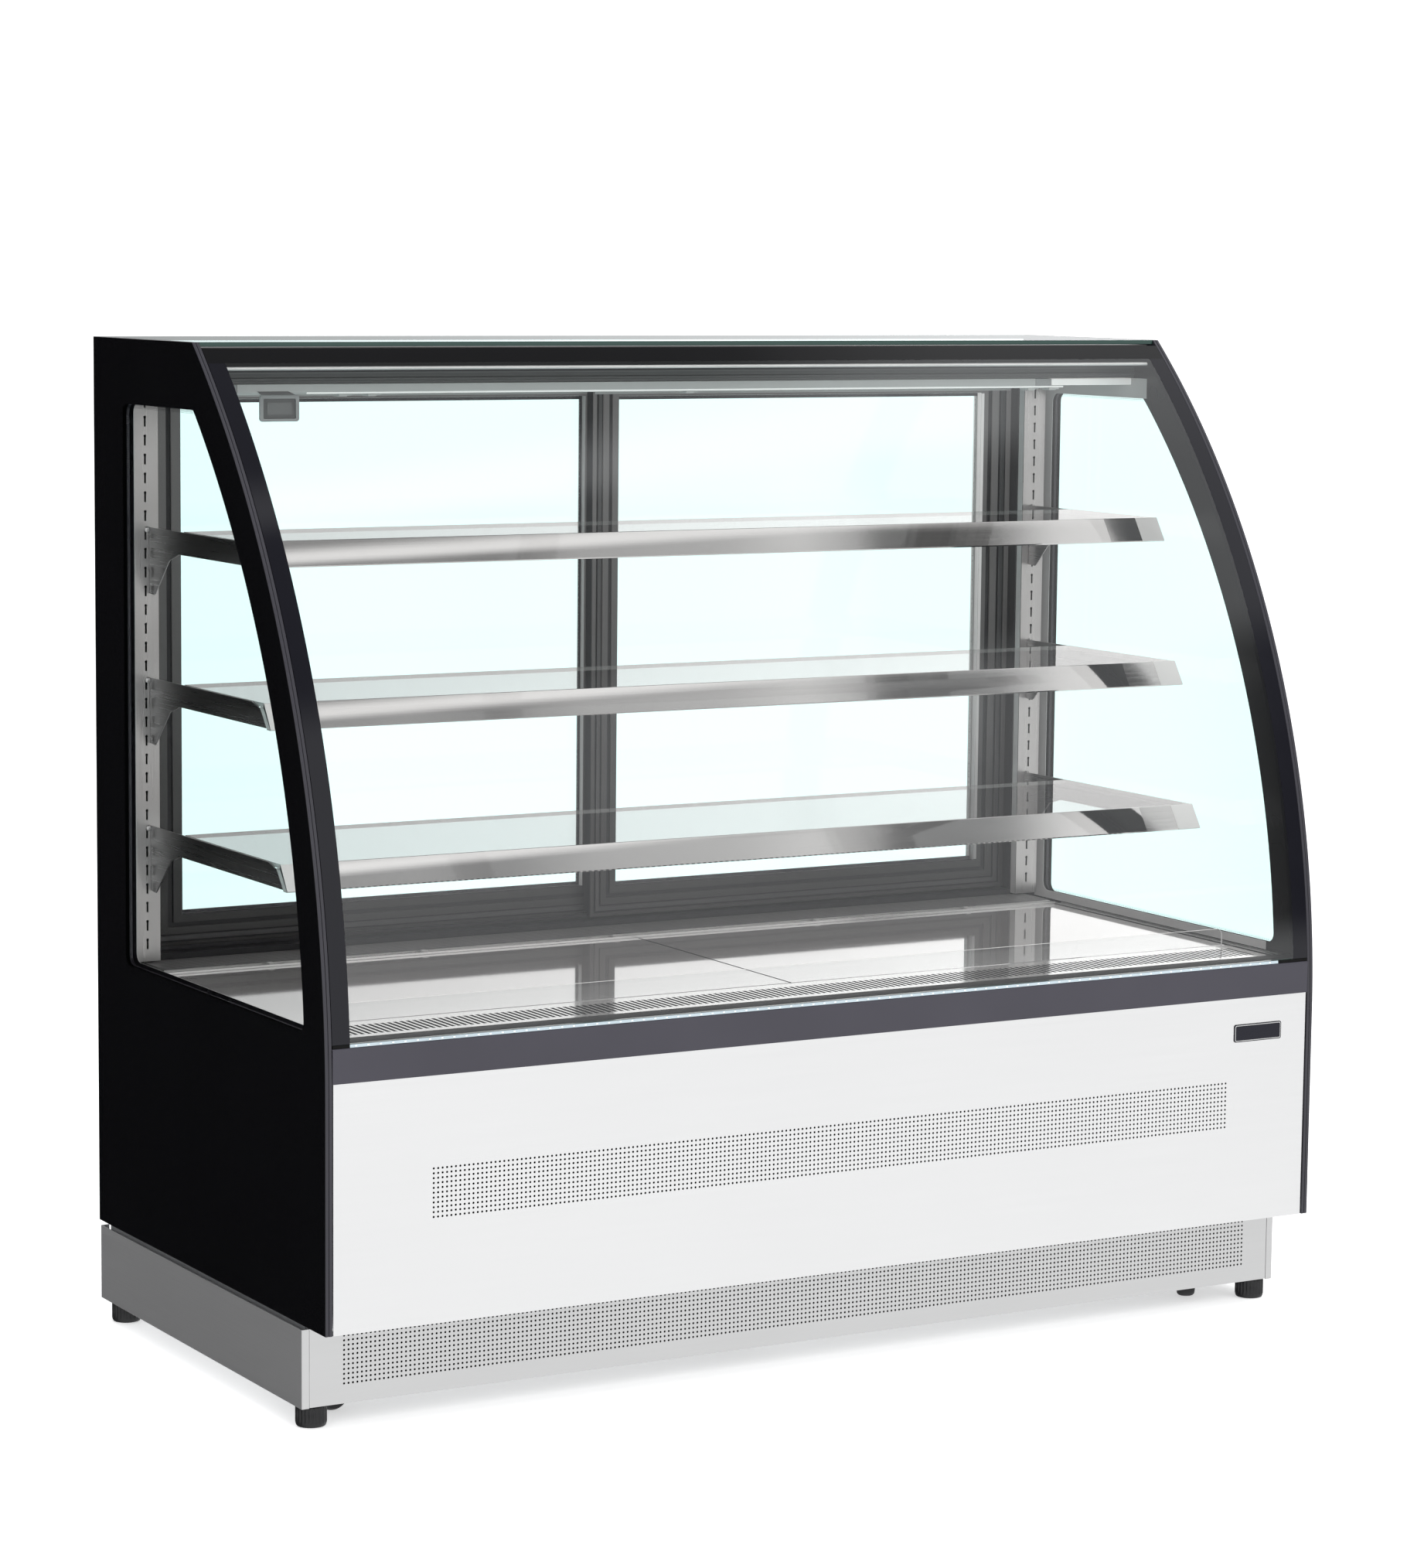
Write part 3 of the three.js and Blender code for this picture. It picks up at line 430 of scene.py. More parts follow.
def rounded(u0, u1, v0, v1, r, steps=5):
    return [point for cu, cv, start in ((u1 - r, v0 + r, -90), (u1 - r, v1 - r, 0),
                                        (u0 + r, v1 - r, 90), (u0 + r, v0 + r, 180))
            for point in fillet(cu, cv, r, start, start + 90, steps)]


def arc_depth(z, inset=0.0):
    rise = max(z - ARC_START_Z, 0)
    return ARC_RADIUS - math.sqrt((ARC_RADIUS - inset) ** 2 - rise ** 2)


def arc_points(z0, z1, inset=0.0, steps=48):
    radius = ARC_RADIUS - inset
    a0 = math.asin((z0 - ARC_START_Z) / radius)
    a1 = math.asin((z1 - ARC_START_Z) / radius)
    points = []
    for i in range(steps + 1):
        a = a0 + (a1 - a0) * i / steps
        points.append((ARC_RADIUS - radius * math.cos(a), ARC_START_Z + radius * math.sin(a)))
    return points


def fillet(cu, cv, r, start, end, steps=6):
    points = []
    for i in range(steps + 1):
        a = math.radians(start + (end - start) * i / steps)
        points.append((cu + r * math.cos(a), cv + r * math.sin(a)))
    return points


SIDES = (("left", -1), ("right", 1))


# -------- end panels
def end_outline(steps=72):
    return [(DEPTH, BODY_BOTTOM_Z), (DEPTH, HEIGHT)] + \
        arc_points(ARC_START_Z, HEIGHT, 0, steps)[::-1] + [(0, BODY_BOTTOM_Z)]


def window_outline(border, rear, z0, z1, r=13, steps=40):
    low = arc_depth(z0 + r, border)
    high = arc_depth(z1 - 3, border)
    return fillet(rear - r, z0 + r, r, -90, 0) + fillet(rear - r, z1 - r, r, 0, 90) + \
        fillet(high + 4.5, z1 - 3, 3, 90, 150, 3) + \
        arc_points(z0 + r, z1 - 7, border, steps)[::-1] + \
        fillet(low + r, z0 + r, r, 180, 270)[1:]


# Sheets of an end panel, from the inside of the case outwards.
LINING_X = (735.1, 735.8)
INNER_PANE_X = (736, 740.0)
SPACER_X = (740.4, 744.7)
DOTS_X = (744.80, 744.98)
OUTER_PANE_X = (745, HALF)
OUTER_BORDER, OUTER_WINDOW_Z = 59, 503.5
INNER_BORDER, INNER_WINDOW_Z = 70, 506.5
WINDOW_TOP_Z = {"left": 1249.5, "right": 1252}
OUTER_REAR = {"left": 628, "right": 641}
INNER_REAR = {"left": 626, "right": 641}


def walk(outline, pitch, inset):
    """Points every pitch along a closed outline, moved inwards by inset."""
    total = len(outline)
    area = sum(outline[i][0] * outline[(i + 1) % total][1]
               - outline[(i + 1) % total][0] * outline[i][1] for i in range(total))
    turn = 1 if area > 0 else -1
    left = 0.0
    for i in range(total):
        (u0, v0), (u1, v1) = outline[i], outline[(i + 1) % total]
        length = math.hypot(u1 - u0, v1 - v0)
        if length < 1e-6:
            continue
        du, dv = (u1 - u0) / length, (v1 - v0) / length
        t = left
        while t < length:
            yield u0 + du * t - dv * turn * inset, v0 + dv * t + du * turn * inset
            t += pitch
        left = t - length


def end_panels():
    inner_low, inner_high = corners_mm("end_inner_glass_right")
    for side, sign in SIDES:
        def flat(u, v, w, s=sign):
            return s * w, u, v
        rear, top_z = INNER_REAR[side], WINDOW_TOP_Z[side]
        window = window_outline(OUTER_BORDER, OUTER_REAR[side], OUTER_WINDOW_Z, top_z)
        outer = Shape().prism(end_outline(), [window], *OUTER_PANE_X, flat, 0, side=2, plug=1)
        outer.make(f"end_pane_{side}", [ENAMEL, CLEAR, STRIP], "enamelled_glass",
                   [f"end_glass_{side}"], 0.9)
        strip = Shape().prism(end_outline(), [window], *SPACER_X, flat)
        strip.make(f"end_spacer_{side}", [STRIP], "black_frame", [f"end_frame_{side}"],
                   0.5)
        outline = [(inner_high[1], inner_low[2]), (inner_high[1], inner_high[2])] + \
            arc_points(inner_low[2], inner_high[2], 16)[::-1]
        opening = window_outline(INNER_BORDER, rear, INNER_WINDOW_Z, top_z)
        inner = Shape().prism(outline, [opening], *INNER_PANE_X, flat, 0, plug=1)
        inner.make(f"end_inner_pane_{side}", [FRIT, CLEAR], "clear_glass",
                   [f"end_inner_glass_{side}"])
        dots = Shape()
        for row, radius in ((1.3, 0.75), (3.2, 0.6), (4.9, 0.45)):
            for u, v in walk(window, 3.0, row):
                dots.prism(fillet(u, v, radius, 0, 300, 5), [], *DOTS_X, flat)
        dots.make(f"end_frit_dots_{side}", [FRIT], "enamelled_glass")
        # Folded lining round the window, open along the curved front; a painted glow lifts it out
        # of its shade.
        lining = [(90, 494.9), (664, 494.9), (664, 1279.4), (404, 1279.4), (404, 1251)] + \
            fillet(rear - 12.5, 1251 - 12.5, 12.5, 90, 0) + \
            fillet(rear - 12.5, 506.4 + 12.5, 12.5, 0, -90) + [(90, 506.4)]
        Shape().prism(lining, [], *LINING_X, flat).make(
            f"end_lining_painted_glow_{side}", [LINING], "side_steel")


end_panels()


# -------- curved front glass
GLASS_LOW = 496.0
GLASS_HIGH = 1327.0
FRIT_TOP = 1309.0
CLEAR_X = 716.0
FRONT_GLASS_HALF = 739.8
FRONT_GLASS_THICK = 6


def front_glass():
    shape = Shape()
    steps = 72
    low, frit, high = (math.asin((z - ARC_START_Z) / ARC_RADIUS)
                       for z in (GLASS_LOW, FRIT_TOP, GLASS_HIGH))
    split = int(round(steps * (frit - low) / (high - low)))
    outer = arc_points(GLASS_LOW, FRIT_TOP, 0, split) + \
        arc_points(FRIT_TOP, GLASS_HIGH, 0, steps - split)[1:]
    inner = arc_points(GLASS_LOW, FRIT_TOP - 4.2, FRONT_GLASS_THICK, split) + \
        arc_points(FRIT_TOP - 4.2, GLASS_HIGH - 4.4, FRONT_GLASS_THICK, steps - split)[1:]
    xs = [-FRONT_GLASS_HALF, -CLEAR_X, CLEAR_X, FRONT_GLASS_HALF]
    grids = [[[shape.point(x, d, z) for x in xs] for d, z in layer] for layer in (outer, inner)]
    for grid in grids:
        for i in range(steps):
            for k in range(3):
                mat = 0 if i >= split else 1 if k == 1 else 3
                shape.face((grid[i][k], grid[i][k + 1], grid[i + 1][k + 1], grid[i + 1][k]), mat)
    a, b = grids
    for k in range(3):
        shape.face((a[0][k], a[0][k + 1], b[0][k + 1], b[0][k]), 2 if k == 1 else 0)
        shape.face((a[steps][k], a[steps][k + 1], b[steps][k + 1], b[steps][k]), 0)
    for i in range(steps):
        for k in (0, 3):
            shape.face((a[i][k], a[i + 1][k], b[i + 1][k], b[i][k]), 0)
    shape.make("front_glass_pane", [ENAMEL, FRONT_CLEAR, GLASS_EDGE, FRONT_FRIT],
               "clear_glass", ["front_glass"], body="front_glass")
    # A thin seal strip along the lower edge of the top border, light grey so that it shows as a
    # bright line: a painted highlight.
    seal = Shape().prism(
        arc_points(FRIT_TOP - 7.6, FRIT_TOP - 4.0, 6.4, 2)
        + arc_points(FRIT_TOP - 9.4, FRIT_TOP - 5.8, 9.0, 2)[::-1], [], -714, 714, along_x)
    seal.make("front_glass_seal", [LIGHT_GREY_PAINTED_HIGHLIGHT], "black_frame", body="front_glass")


front_glass()


# -------- top
def top():
    (x0, d0, z0), (x1, d1, z1) = corners_mm("top_glass")
    Shape().prism(rect(x0, x1, d0, d1), [], z0, z1, up, 0, side=1).make(
        "worktop_pane", [CLEAR, GLASS_EDGE], "clear_glass", ["top_glass"], 0.5)
    # Canopy: a folded profile with steps along its front, closed at both ends.
    cx = corner_mm("canopy", 1)[0]
    section = [(406, 1328), (406, 1324), (431, 1324), (434, 1321), (434, 1299.5),
               (438, 1299.5), (438, 1297.6), (435.5, 1297.6), (435.5, 1288.4),
               (434.0, 1287.4), (434.0, 1284.6), (435.5, 1283.6), (435.5, 1281.2),
               (436.5, 1280), (664.7, 1280), (664.7, 1282), (440, 1282), (440, 1325),
               (664.7, 1325), (664.7, 1328)]
    Shape().run(section, -cx, cx).make(
        "canopy_profile", [CANOPY], "black_frame", ["canopy"], 0.3)
    Shape().run(rect(434.2, 435.3, 1293.4, 1297.4), -cx + 2, cx - 2).make(
        "canopy_light_strip", [RIBBED], "black_frame")


top()


def lamp():
    x1 = corner_mm("canopy_lamp", 1)[0]
    section = [(436.4, 1279.6), (436.2, 1271.5)] + fillet(441, 1271, 4.8, 180, 270, 6) + \
        fillet(457, 1271, 4.8, 270, 360, 6) + [(461.6, 1279.6)]
    Shape().run(section, -x1 + 62, x1 - 168.4).make(
        "lamp_diffuser", [OPAL], "lamp_diffuser", ["canopy_lamp"])
    caps = Shape()
    caps.run(section, x1 - 168, x1 - 141)
    caps.run(section, -x1, -x1 + 61.6)
    caps.make("lamp_end_caps", [HOUSING], "lamp_diffuser", bevel=0.6)
    # The driver cover and the lower lip glow brighter than the lamp itself: painted glow and
    # painted highlight.
    tail = Shape()
    tail.prism([(437, 1279.4), (437, 1270.0), (460, 1270.0), (460, 1279.4)], [], x1 - 140,
               x1 - 1, along_x)
    tail.make("lamp_driver_cover", [OPAL_PAINTED_GLOW], "lamp_diffuser", bevel=0.8)
    lip = Shape().run([(437.2, 1267.0), (438.4, 1267.0), (439.4, 1268.0), (436.6, 1269.2)],
                      -x1 + 160, x1 - 120)
    lip.make("lamp_lower_lip", [OPAL_PAINTED_GLOW], "lamp_diffuser")
    clips = Shape()
    for x in (-520, -478, 0, 560, 596):
        clips.box(x - 6, x + 6, 439, 459, 1263.2, 1266.4)
        clips.box(x - 2.5, x + 16, 446, 452, 1264.2, 1266.4)
    # Painted glow: the clips take the opal glow though they are no lamp.
    clips.make("lamp_clips", [OPAL], "lamp_diffuser", bevel=0.6)


lamp()


def display():
    (x0, d0, z0), (x1, d1, z1) = corners_mm("temperature_display")
    shape = Shape()
    shape.prism(rounded(x0, x1, z0, z1, 4), [rounded(x0 + 5, x1 - 5, z0 + 3.6, z1 - 4.6, 1.5)],
                d0, d0 + 3, along_d)
    shape.prism(rounded(x0 + 5, x1 - 1, z0 + 2, z1 - 1, 3.5), [], d0 + 3, d1, along_d)
    shape.make("display_bezel", [HOUSING], "display_housing", ["temperature_display"],
               0.5)
    Shape().prism(rounded(x0 + 5.2, x1 - 5.2, z0 + 3.8, z1 - 4.8, 1.4), [], d0 + 1.2, d0 + 2.9,
                  along_d).make("display_screen", [DISPLAY_FACE], "display_housing")
    Shape().prism(rounded(x0 + 10.5, x1 - 10.5, z0 + 9, z1 - 9.5, 1.0), [], d0 + 0.8, d0 + 1.1,
                  along_d).make("display_window", [DISPLAY_WINDOW], "display_housing")
    hook = Shape()
    hook.prism([(x0 - 6, z1 + 5), (x0 + 38, z1 + 5), (x0 + 48, z1 + 0.4), (x0, z1 + 0.4)], [],
               d1 - 16.4, d1 - 16.0, along_d)
    hook.make("display_bracket", [DISPLAY_FACE], "display_housing")


display()


# -------- front panel and plinth
def perforated(shape, x0, x1, z0, z1, nx, nz, pitch, first_x, first_z, radius, d0, d1):
    """A flat sheet with a field of round holes, from d0 to d1, with every hole cut through."""
    for d in (d0, d1):
        field_x = [x0] + [first_x + (i - 0.5) * pitch for i in range(nx + 1)] + [x1]
        field_z = [z0] + [first_z + (k - 0.5) * pitch for k in range(nz + 1)] + [z1]
        grid = [[shape.point(x, d, z) for z in field_z] for x in field_x]
        for i in range(-1, nx + 1):
            for k in range(-1, nz + 1):
                a, b = grid[i + 1][k + 1], grid[i + 2][k + 1]
                c, e = grid[i + 2][k + 2], grid[i + 1][k + 2]
                if not (0 <= i < nx and 0 <= k < nz):
                    shape.face((a, b, c, e))
                    continue
                cx, cz = first_x + i * pitch, first_z + k * pitch
                circle = [(cx + radius * math.cos(math.radians(22.5 + 45 * s)),
                           cz + radius * math.sin(math.radians(22.5 + 45 * s)))
                          for s in range(8)]
                hole = [shape.point(u, d, v) for u, v in circle]
                cell = (b, c, e, a)
                for q in range(4):
                    after = cell[(q + 1) % 4]
                    shape.face((cell[q], after, hole[2 * q], hole[2 * q - 1]))
                    shape.face((after, hole[2 * q + 1], hole[2 * q]))
                if d == d0:
                    back = [shape.point(u, d1, v) for u, v in circle]
                    for s in range(8):
                        t = (s + 1) % 8
                        shape.face((hole[s], hole[t], back[t], back[s]))
        rims = [[line[0] for line in grid], [line[-1] for line in grid], grid[0], grid[-1]]
        if d == d0:
            first = rims
    for near, far in zip(first, rims):
        for i in range(len(near) - 1):
            shape.face((near[i], near[i + 1], far[i + 1], far[i]))


HOLE_PITCH = 6.1
HOLE_RADIUS = 1.5
PANEL_HOLES, PANEL_FIRST_HOLE = (199, 11), (-602.5, 270.3)
PLINTH_HOLES, PLINTH_FIRST_HOLE = (228, 11), (-690.0, 53.5)


def front_panel():
    x1, _, z1 = corner_mm("front_panel", 1)
    shape = Shape()
    perforated(shape, -x1, x1, BODY_BOTTOM_Z, z1, *PANEL_HOLES, HOLE_PITCH, *PANEL_FIRST_HOLE,
               HOLE_RADIUS, 1.4, 2.6)
    shape.box(-x1, x1, 2.7, 22, BODY_BOTTOM_Z, BODY_BOTTOM_Z + 1.2)
    shape.box(-x1, x1, 2.7, 22, z1 - 1.2, z1)
    shape.make("front_panel_sheet", [SATIN], "bright_panel", ["front_panel"])
    Shape().box(-620, 622, 8, 10, 262, 340).make(
        "front_air_filter", [FILTER], "black_plastic", bevel=0.3)
    plate = Shape().prism(rounded(617.4, 697, 387, 411.5, 3.0), [], 0.25, 1.35, along_d)
    plate.make("name_plate", [PLATE], "dark_rail", bevel=0.25)
    border = Shape().prism(rounded(618.6, 695.8, 388.2, 410.3, 2.4),
                           [rounded(619.6, 694.8, 389.2, 409.3, 1.8)], 0.1, 0.24, along_d)
    border.make("name_plate_border", [BRIGHT], "dark_rail")


front_panel()


def plinth():
    (_, d0, z0), (x1, _, z1) = corners_mm("plinth_front")
    shape = Shape()
    perforated(shape, -x1, x1, z0, z1, *PLINTH_HOLES, HOLE_PITCH, *PLINTH_FIRST_HOLE,
               HOLE_RADIUS, d0, d0 + 1.2)
    shape.box(-x1, x1, d0 + 1.3, d0 + 11, z0, z0 + 1.2)
    shape.make("plinth_front_sheet", [PLINTH], "bright_panel", ["plinth_front"])
    Shape().box(-705, 713, d0 + 3.6, d0 + 5.0, 44, 124).make(
        "plinth_air_filter", [FILTER], "black_plastic", bevel=0.3)
    for side, sign in SIDES:
        low, high = corners_mm(f"plinth_{side}")
        ox = max(abs(low[0]), abs(high[0]))
        ix = min(abs(low[0]), abs(high[0]))
        d_front, d_rear = low[1], high[1]
        sheet = [(ox, d_front + 1.2), (ox, d_rear), (ox - 12, d_rear), (ox - 12, d_rear - 1.2),
                 (ox - 1.2, d_rear - 1.2), (ox - 1.2, d_front + 1.4), (ix, d_front + 1.4),
                 (ix, d_front), (ox - 0.9, d_front), (ox, d_front + 0.6)]
        sheet = [(sign * x, d) for x, d in sheet]
        Shape().prism(sheet, [], low[2], high[2], up).make(
            f"plinth_side_{side}", [SIDE], "side_steel", [f"plinth_{side}"], 0.25)
        cover = [(sign * x, d) for x, d in ((ix, d_front - 0.05), (ox - 0.2, d_front - 0.05),
                                            (ox - 0.2, d_front + 0.6), (ix, d_front + 0.6))]
        Shape().prism(cover, [], low[2] + 0.5, high[2] - 0.5, up).make(
            f"plinth_corner_{side}", [PLINTH], "bright_panel")


plinth()


# -------- rail under the glass
def rail():
    x1 = corner_mm("front_rail", 1)[0]
    section = [(0.2, 448)] + [(0.2, 488)] + fillet(3.2, 488.5, 3.0, 180, 90, 5) + \
        [(42, 491.5), (42, 489.5), (5.0, 489.5), (2.2, 487), (2.2, 450), (30, 450), (30, 448)]
    Shape().run(section, -x1, x1).make(
        "rail_profile", [RAIL], "dark_rail", ["front_rail"])
    strip = [(1.6, 491.7), (7.2, 491.7), (7.2, 495.5), (2.0, 495.5)]
    last = CLEAR_X - 26
    Shape().run(strip, -CLEAR_X, last).make(
        "light_strip_profile", [FROSTED], "lamp_diffuser")
    ends = Shape()
    ends.run(strip, -x1 + 0.5, -CLEAR_X - 0.3)
    ends.run(strip, last + 0.3, x1 - 0.5)
    ends.make("light_strip_ends", [DUCT], "dark_rail")
    lights = Shape()
    x = -CLEAR_X + 8
    while x < last - 6:
        lights.box(x - 1.3, x + 1.3, 1.25, 1.55, 493.0, 494.4)
        x += 16.67
    lights.make("light_strip_dots", [LED], "lamp_diffuser")
    gasket = [(9, 491.7), (43.2, 491.7), (43.2, 494.6), (39, 496.6), (13, 496.6), (9, 495.4)]
    Shape().run(gasket, -x1 + 1, x1 - 1).make(
        "rail_gasket", [DUCT], "dark_rail")


rail()


# -------- deck
DECK_Z = 494.0
GRILLE_SHEET = 0.35
SLOT_PITCH = 8.9
SLOT_WIDTH = 5.0


def deck():
    x1 = corner_mm("deck_pan_right", 1)[0]
    for side, a, b in (("left", -x1, -1.7), ("right", 1.7, x1)):
        section = [(154, 480), (155.2, 480), (155.2, 493.1), (571.8, 493.1), (571.8, 492.7),
                   (573, 492.7), (573, 493.5)] + [(572.5, DECK_Z), (155, DECK_Z), (154, 493.2)]
        Shape().prism(section, [], a, b, along_x, 1, side=0).make(
            f"deck_sheet_{side}", [DECK, DUCT], "polished_steel", [f"deck_pan_{side}"])
    # Front air grille with slots cut through.
    count = int((2 * x1 - 24) // SLOT_PITCH)
    start = -(count - 1) * SLOT_PITCH / 2
    shape = Shape()
    edges = [-x1 + 0.5]
    for i in range(count):
        middle = start + i * SLOT_PITCH
        edges += [middle - SLOT_WIDTH / 2, middle + SLOT_WIDTH / 2]
    edges.append(x1 - 0.5)
    z0 = DECK_Z - GRILLE_SHEET
    for a, b in zip(edges[::2], edges[1::2]):
        shape.prism(rect(a, b, 66, 127), [], z0, DECK_Z, up, 0, side=1)
    for d0, d1, low, high in ((44, 66, z0, DECK_Z), (127, 150, z0, DECK_Z),
                              (44, 45.2, 489, z0 - 0.05), (148.8, 150, 489, z0 - 0.05)):
        shape.box(-x1 + 0.5, x1 - 0.5, d0, d1, low, high)
    shape.make("air_grille_sheet", [GRILLE, DUCT], "polished_steel",
               ["front_air_grille"])
    tray = [(47, 482.2), (147, 482.2), (147, 489.5), (146, 489.5), (146, 483.2), (48, 483.2),
            (48, 489.5), (47, 489.5)]
    Shape().run(tray, -x1 + 1, x1 - 1).make(
        "air_grille_duct", [DUCT], "foamed_liner")
    seam = Shape().box(-6, 6, 156, 551.5, 482.2, 484.0)
    seam.make("deck_seam_strip", [DUCT], "foamed_liner")
    # Clear guard behind the grille; its edges glow as a painted highlight.
    gx = corner_mm("air_guard", 1)[0]
    guard = [(-gx, 481), (gx, 481)] + fillet(gx - 9, 509, 9, 0, 90) + \
        fillet(-gx + 9, 509, 9, 90, 180)
    Shape().prism(guard, [], 150.5, 153.5, along_d, 0, side=1).make(
        "air_guard_pane", [ACRYLIC, ACRYLIC_EDGE_PAINTED_GLOW], "clear_glass", ["air_guard"], 0.4)
    # Side gutters.
    for side, sign in SIDES:
        gutter = [(716.5, 491.7), (735.0, 491.7), (735.0, 494.2), (733.6, 494.2),
                  (733.6, 493.0), (718.2, 493.0), (718.2, 494.8), (716.5, 494.8)]
        Shape().prism([(sign * x, z) for x, z in gutter], [], 46, 590, along_d).make(
            f"side_gutter_{side}", [BRIGHT], "polished_steel", bevel=0.2)
    # Rear air rail: a bright rail with two lips and small clips, then a ribbed strip. The clips
    # carry a faint painted glow.
    rear = [(574.5, 492.6), (590, 492.6), (590, 498.2), (588.4, 498.2), (588.4, 495.4),
            (576.4, 495.4), (576.4, 497.4), (574.5, 497.4)]
    Shape().run(rear, -x1, x1).make(
        "rear_air_rail", [BRIGHT], "polished_steel", bevel=0.3)
    clips = Shape()
    for x in (-560, -330, -30, 300, 560):
        clips.box(x - 4, x + 4, 577, 587.5, 495.5, 499.0)
    clips.make("rear_rail_clips", [OPAL], "lamp_diffuser", bevel=0.8)
    strip = [(591, 492.6), (665, 492.6)]
    for k in range(9):
        d = 663 - k * 8
        strip += [(d, 499.0), (d - 5, 499.0), (d - 6, 497.9), (d - 7, 497.9)]
    strip.append((591, 498.4))
    Shape().run(strip, -x1, x1).make(
        "rear_ribbed_strip", [RIBBED], "black_frame")


deck()


# -------- shelves
SHELF_HALF = 705.0


def uprights():
    for side, sign in SIDES:
        node = f"pilaster_{side}"
        low, high = corners_mm(node)
        cx = (low[0] + high[0]) / 2
        half = (high[0] - low[0]) / 2
        d0 = low[1]
        z0, z1 = low[2] - 7, high[2]
        slots = []
        z = low[2] + 14
        while z < z1 - 14:
            slots.append(fillet(cx, z + 8.4, 2.0, -50, 230, 8)
                         + [(cx - 1.3, z + 6.0), (cx - 1.3, z - 4.2), (cx + 1.3, z - 4.2),
                            (cx + 1.3, z + 6.0)])
            z += 25
        shape = Shape().prism(rect(cx - half, cx + half, z0, z1), slots, d0, d0 + 1.5, along_d)
        # The side flanges are light grey, a painted highlight along the uprights' edges.
        shape.box(cx - half, cx - half + 1.5, d0 + 1.6, high[1], z0, z1, 1)
        shape.box(cx + half - 1.5, cx + half, d0 + 1.6, high[1], z0, z1, 1)
        shape.make(f"slotted_upright_{side}", [UPRIGHT, LIGHT_GREY_PAINTED_HIGHLIGHT], "shelf_steel", [node])
        # Painted shade: a dark sheet behind the slots stands in for the shade inside the channel.
        back = Shape().box(cx - half + 1.6, cx + half - 1.6, d0 + 7, d0 + 8, z0 + 0.5, z1 - 0.5)
        back.make(f"upright_painted_shade_backing_{side}", [DUCT], "shelf_steel")


uprights()


def shelves():
    for number in (1, 2, 3):
        low, high = corners_mm(f"shelf{number}_trim")
        top_z = high[2]
        bottom = low[2]
        front = low[1] + 20.5
        # Front trim: a rolled steel lip that leans out, folded under at its foot.
        section = [(front + 2.4, top_z - 5.9), (front + 2.4, top_z - 0.8)] + \
            fillet(front + 1.2, top_z - 1.2, 1.2, 0, 150, 5) + \
            [(low[1] + 0.4, bottom + 1.6), (low[1] + 1.2, bottom), (low[1] + 13, bottom),
             (low[1] + 13, bottom + 1.2), (low[1] + 2.6, bottom + 1.3),
             (front + 1.4, top_z - 6.6), (front + 14, top_z - 6.6), (front + 14, top_z - 5.9)]
        trim = Shape()
        for a, b, mat in ((-SHELF_HALF, -SHELF_HALF + 37.7, 1),
                          (-SHELF_HALF + 38, SHELF_HALF - 92, 0),
                          (SHELF_HALF - 91.9, SHELF_HALF - 38, 2),
                          (SHELF_HALF - 37.7, SHELF_HALF, 1)):
            trim.run(section, a, b, mat)
        for sign in (-1, 1):
            cheek = [(front + 1, top_z - 1.0), (low[1] + 1.0, bottom + 1.0),
                     (low[1] + 13, bottom + 1.0), (front + 13, top_z - 7.0)]
            a, b = sorted((sign * SHELF_HALF, sign * (SHELF_HALF - 1.2)))
            trim.run(cheek, a, b, 1)
        trim.make(f"shelf{number}_front_trim", [TRIM, TRIM_END, TRIM_BEND],
                  "polished_steel",
                  [f"shelf{number}_trim"])
        g0, g1 = corners_mm(f"shelf{number}_glass")
        Shape().prism(rect(g0[0], g1[0], g0[1], g1[1]), [], g0[2], g1[2], up, 0, side=1).make(
            f"shelf{number}_pane", [SHELF_CLEAR, SHELF_EDGE], "clear_glass",
            [f"shelf{number}_glass"], 0.4)
        for side, sign in SIDES:
            rear = 649.4
            foot = top_z - 33
            arm = [(rear, top_z - 1), (rear, foot - 56), (rear - 16, foot - 57),
                   (rear - 19, foot - 55), (rear - 66, foot - 9), (rear - 70, foot - 7),
                   (rear - 100, foot + 2), (front + 6 - 19.2, foot + 2), (front + 6, top_z - 7.5),
                   (front + 15, top_z - 7.5), (front + 40, top_z - 1)]
            shape = Shape()
            a, b = sorted((sign * 703.2, sign * 704.9))
            shape.run(arm, a, b)
            a, b = sorted((sign * 689, sign * 704))
            shape.box(a, b, front + 40, rear - 52, top_z - 8.2, top_z - 6.5)
            a, b = sorted((sign * 697, sign * 703.6))
            shape.prism([(rear - 100, foot + 2), (rear - 100, foot + 3.4), (front - 11, foot + 3.4),
                         (front - 11, foot + 2)], [], a, b, along_x)
            shape.make(f"shelf{number}_arm_{side}", [ARM], "shelf_steel",
                       [f"shelf{number}_bracket_{side}"], 0.25)
            hook = Shape()

            def facing(u, v, w, cx=sign * 707.5, cz=top_z - 4):
                return cx + u, 649.8 - w, cz + v
            hook.lathe([(0, 3.4), (2.6, 3.2), (4.0, 2.2), (4.4, 0.6), (4.4, 0.0), (0, 0)], 20,
                       facing)
            hook.make(f"shelf{number}_rivet_{side}", [BOLT], "shelf_steel")


shelves()


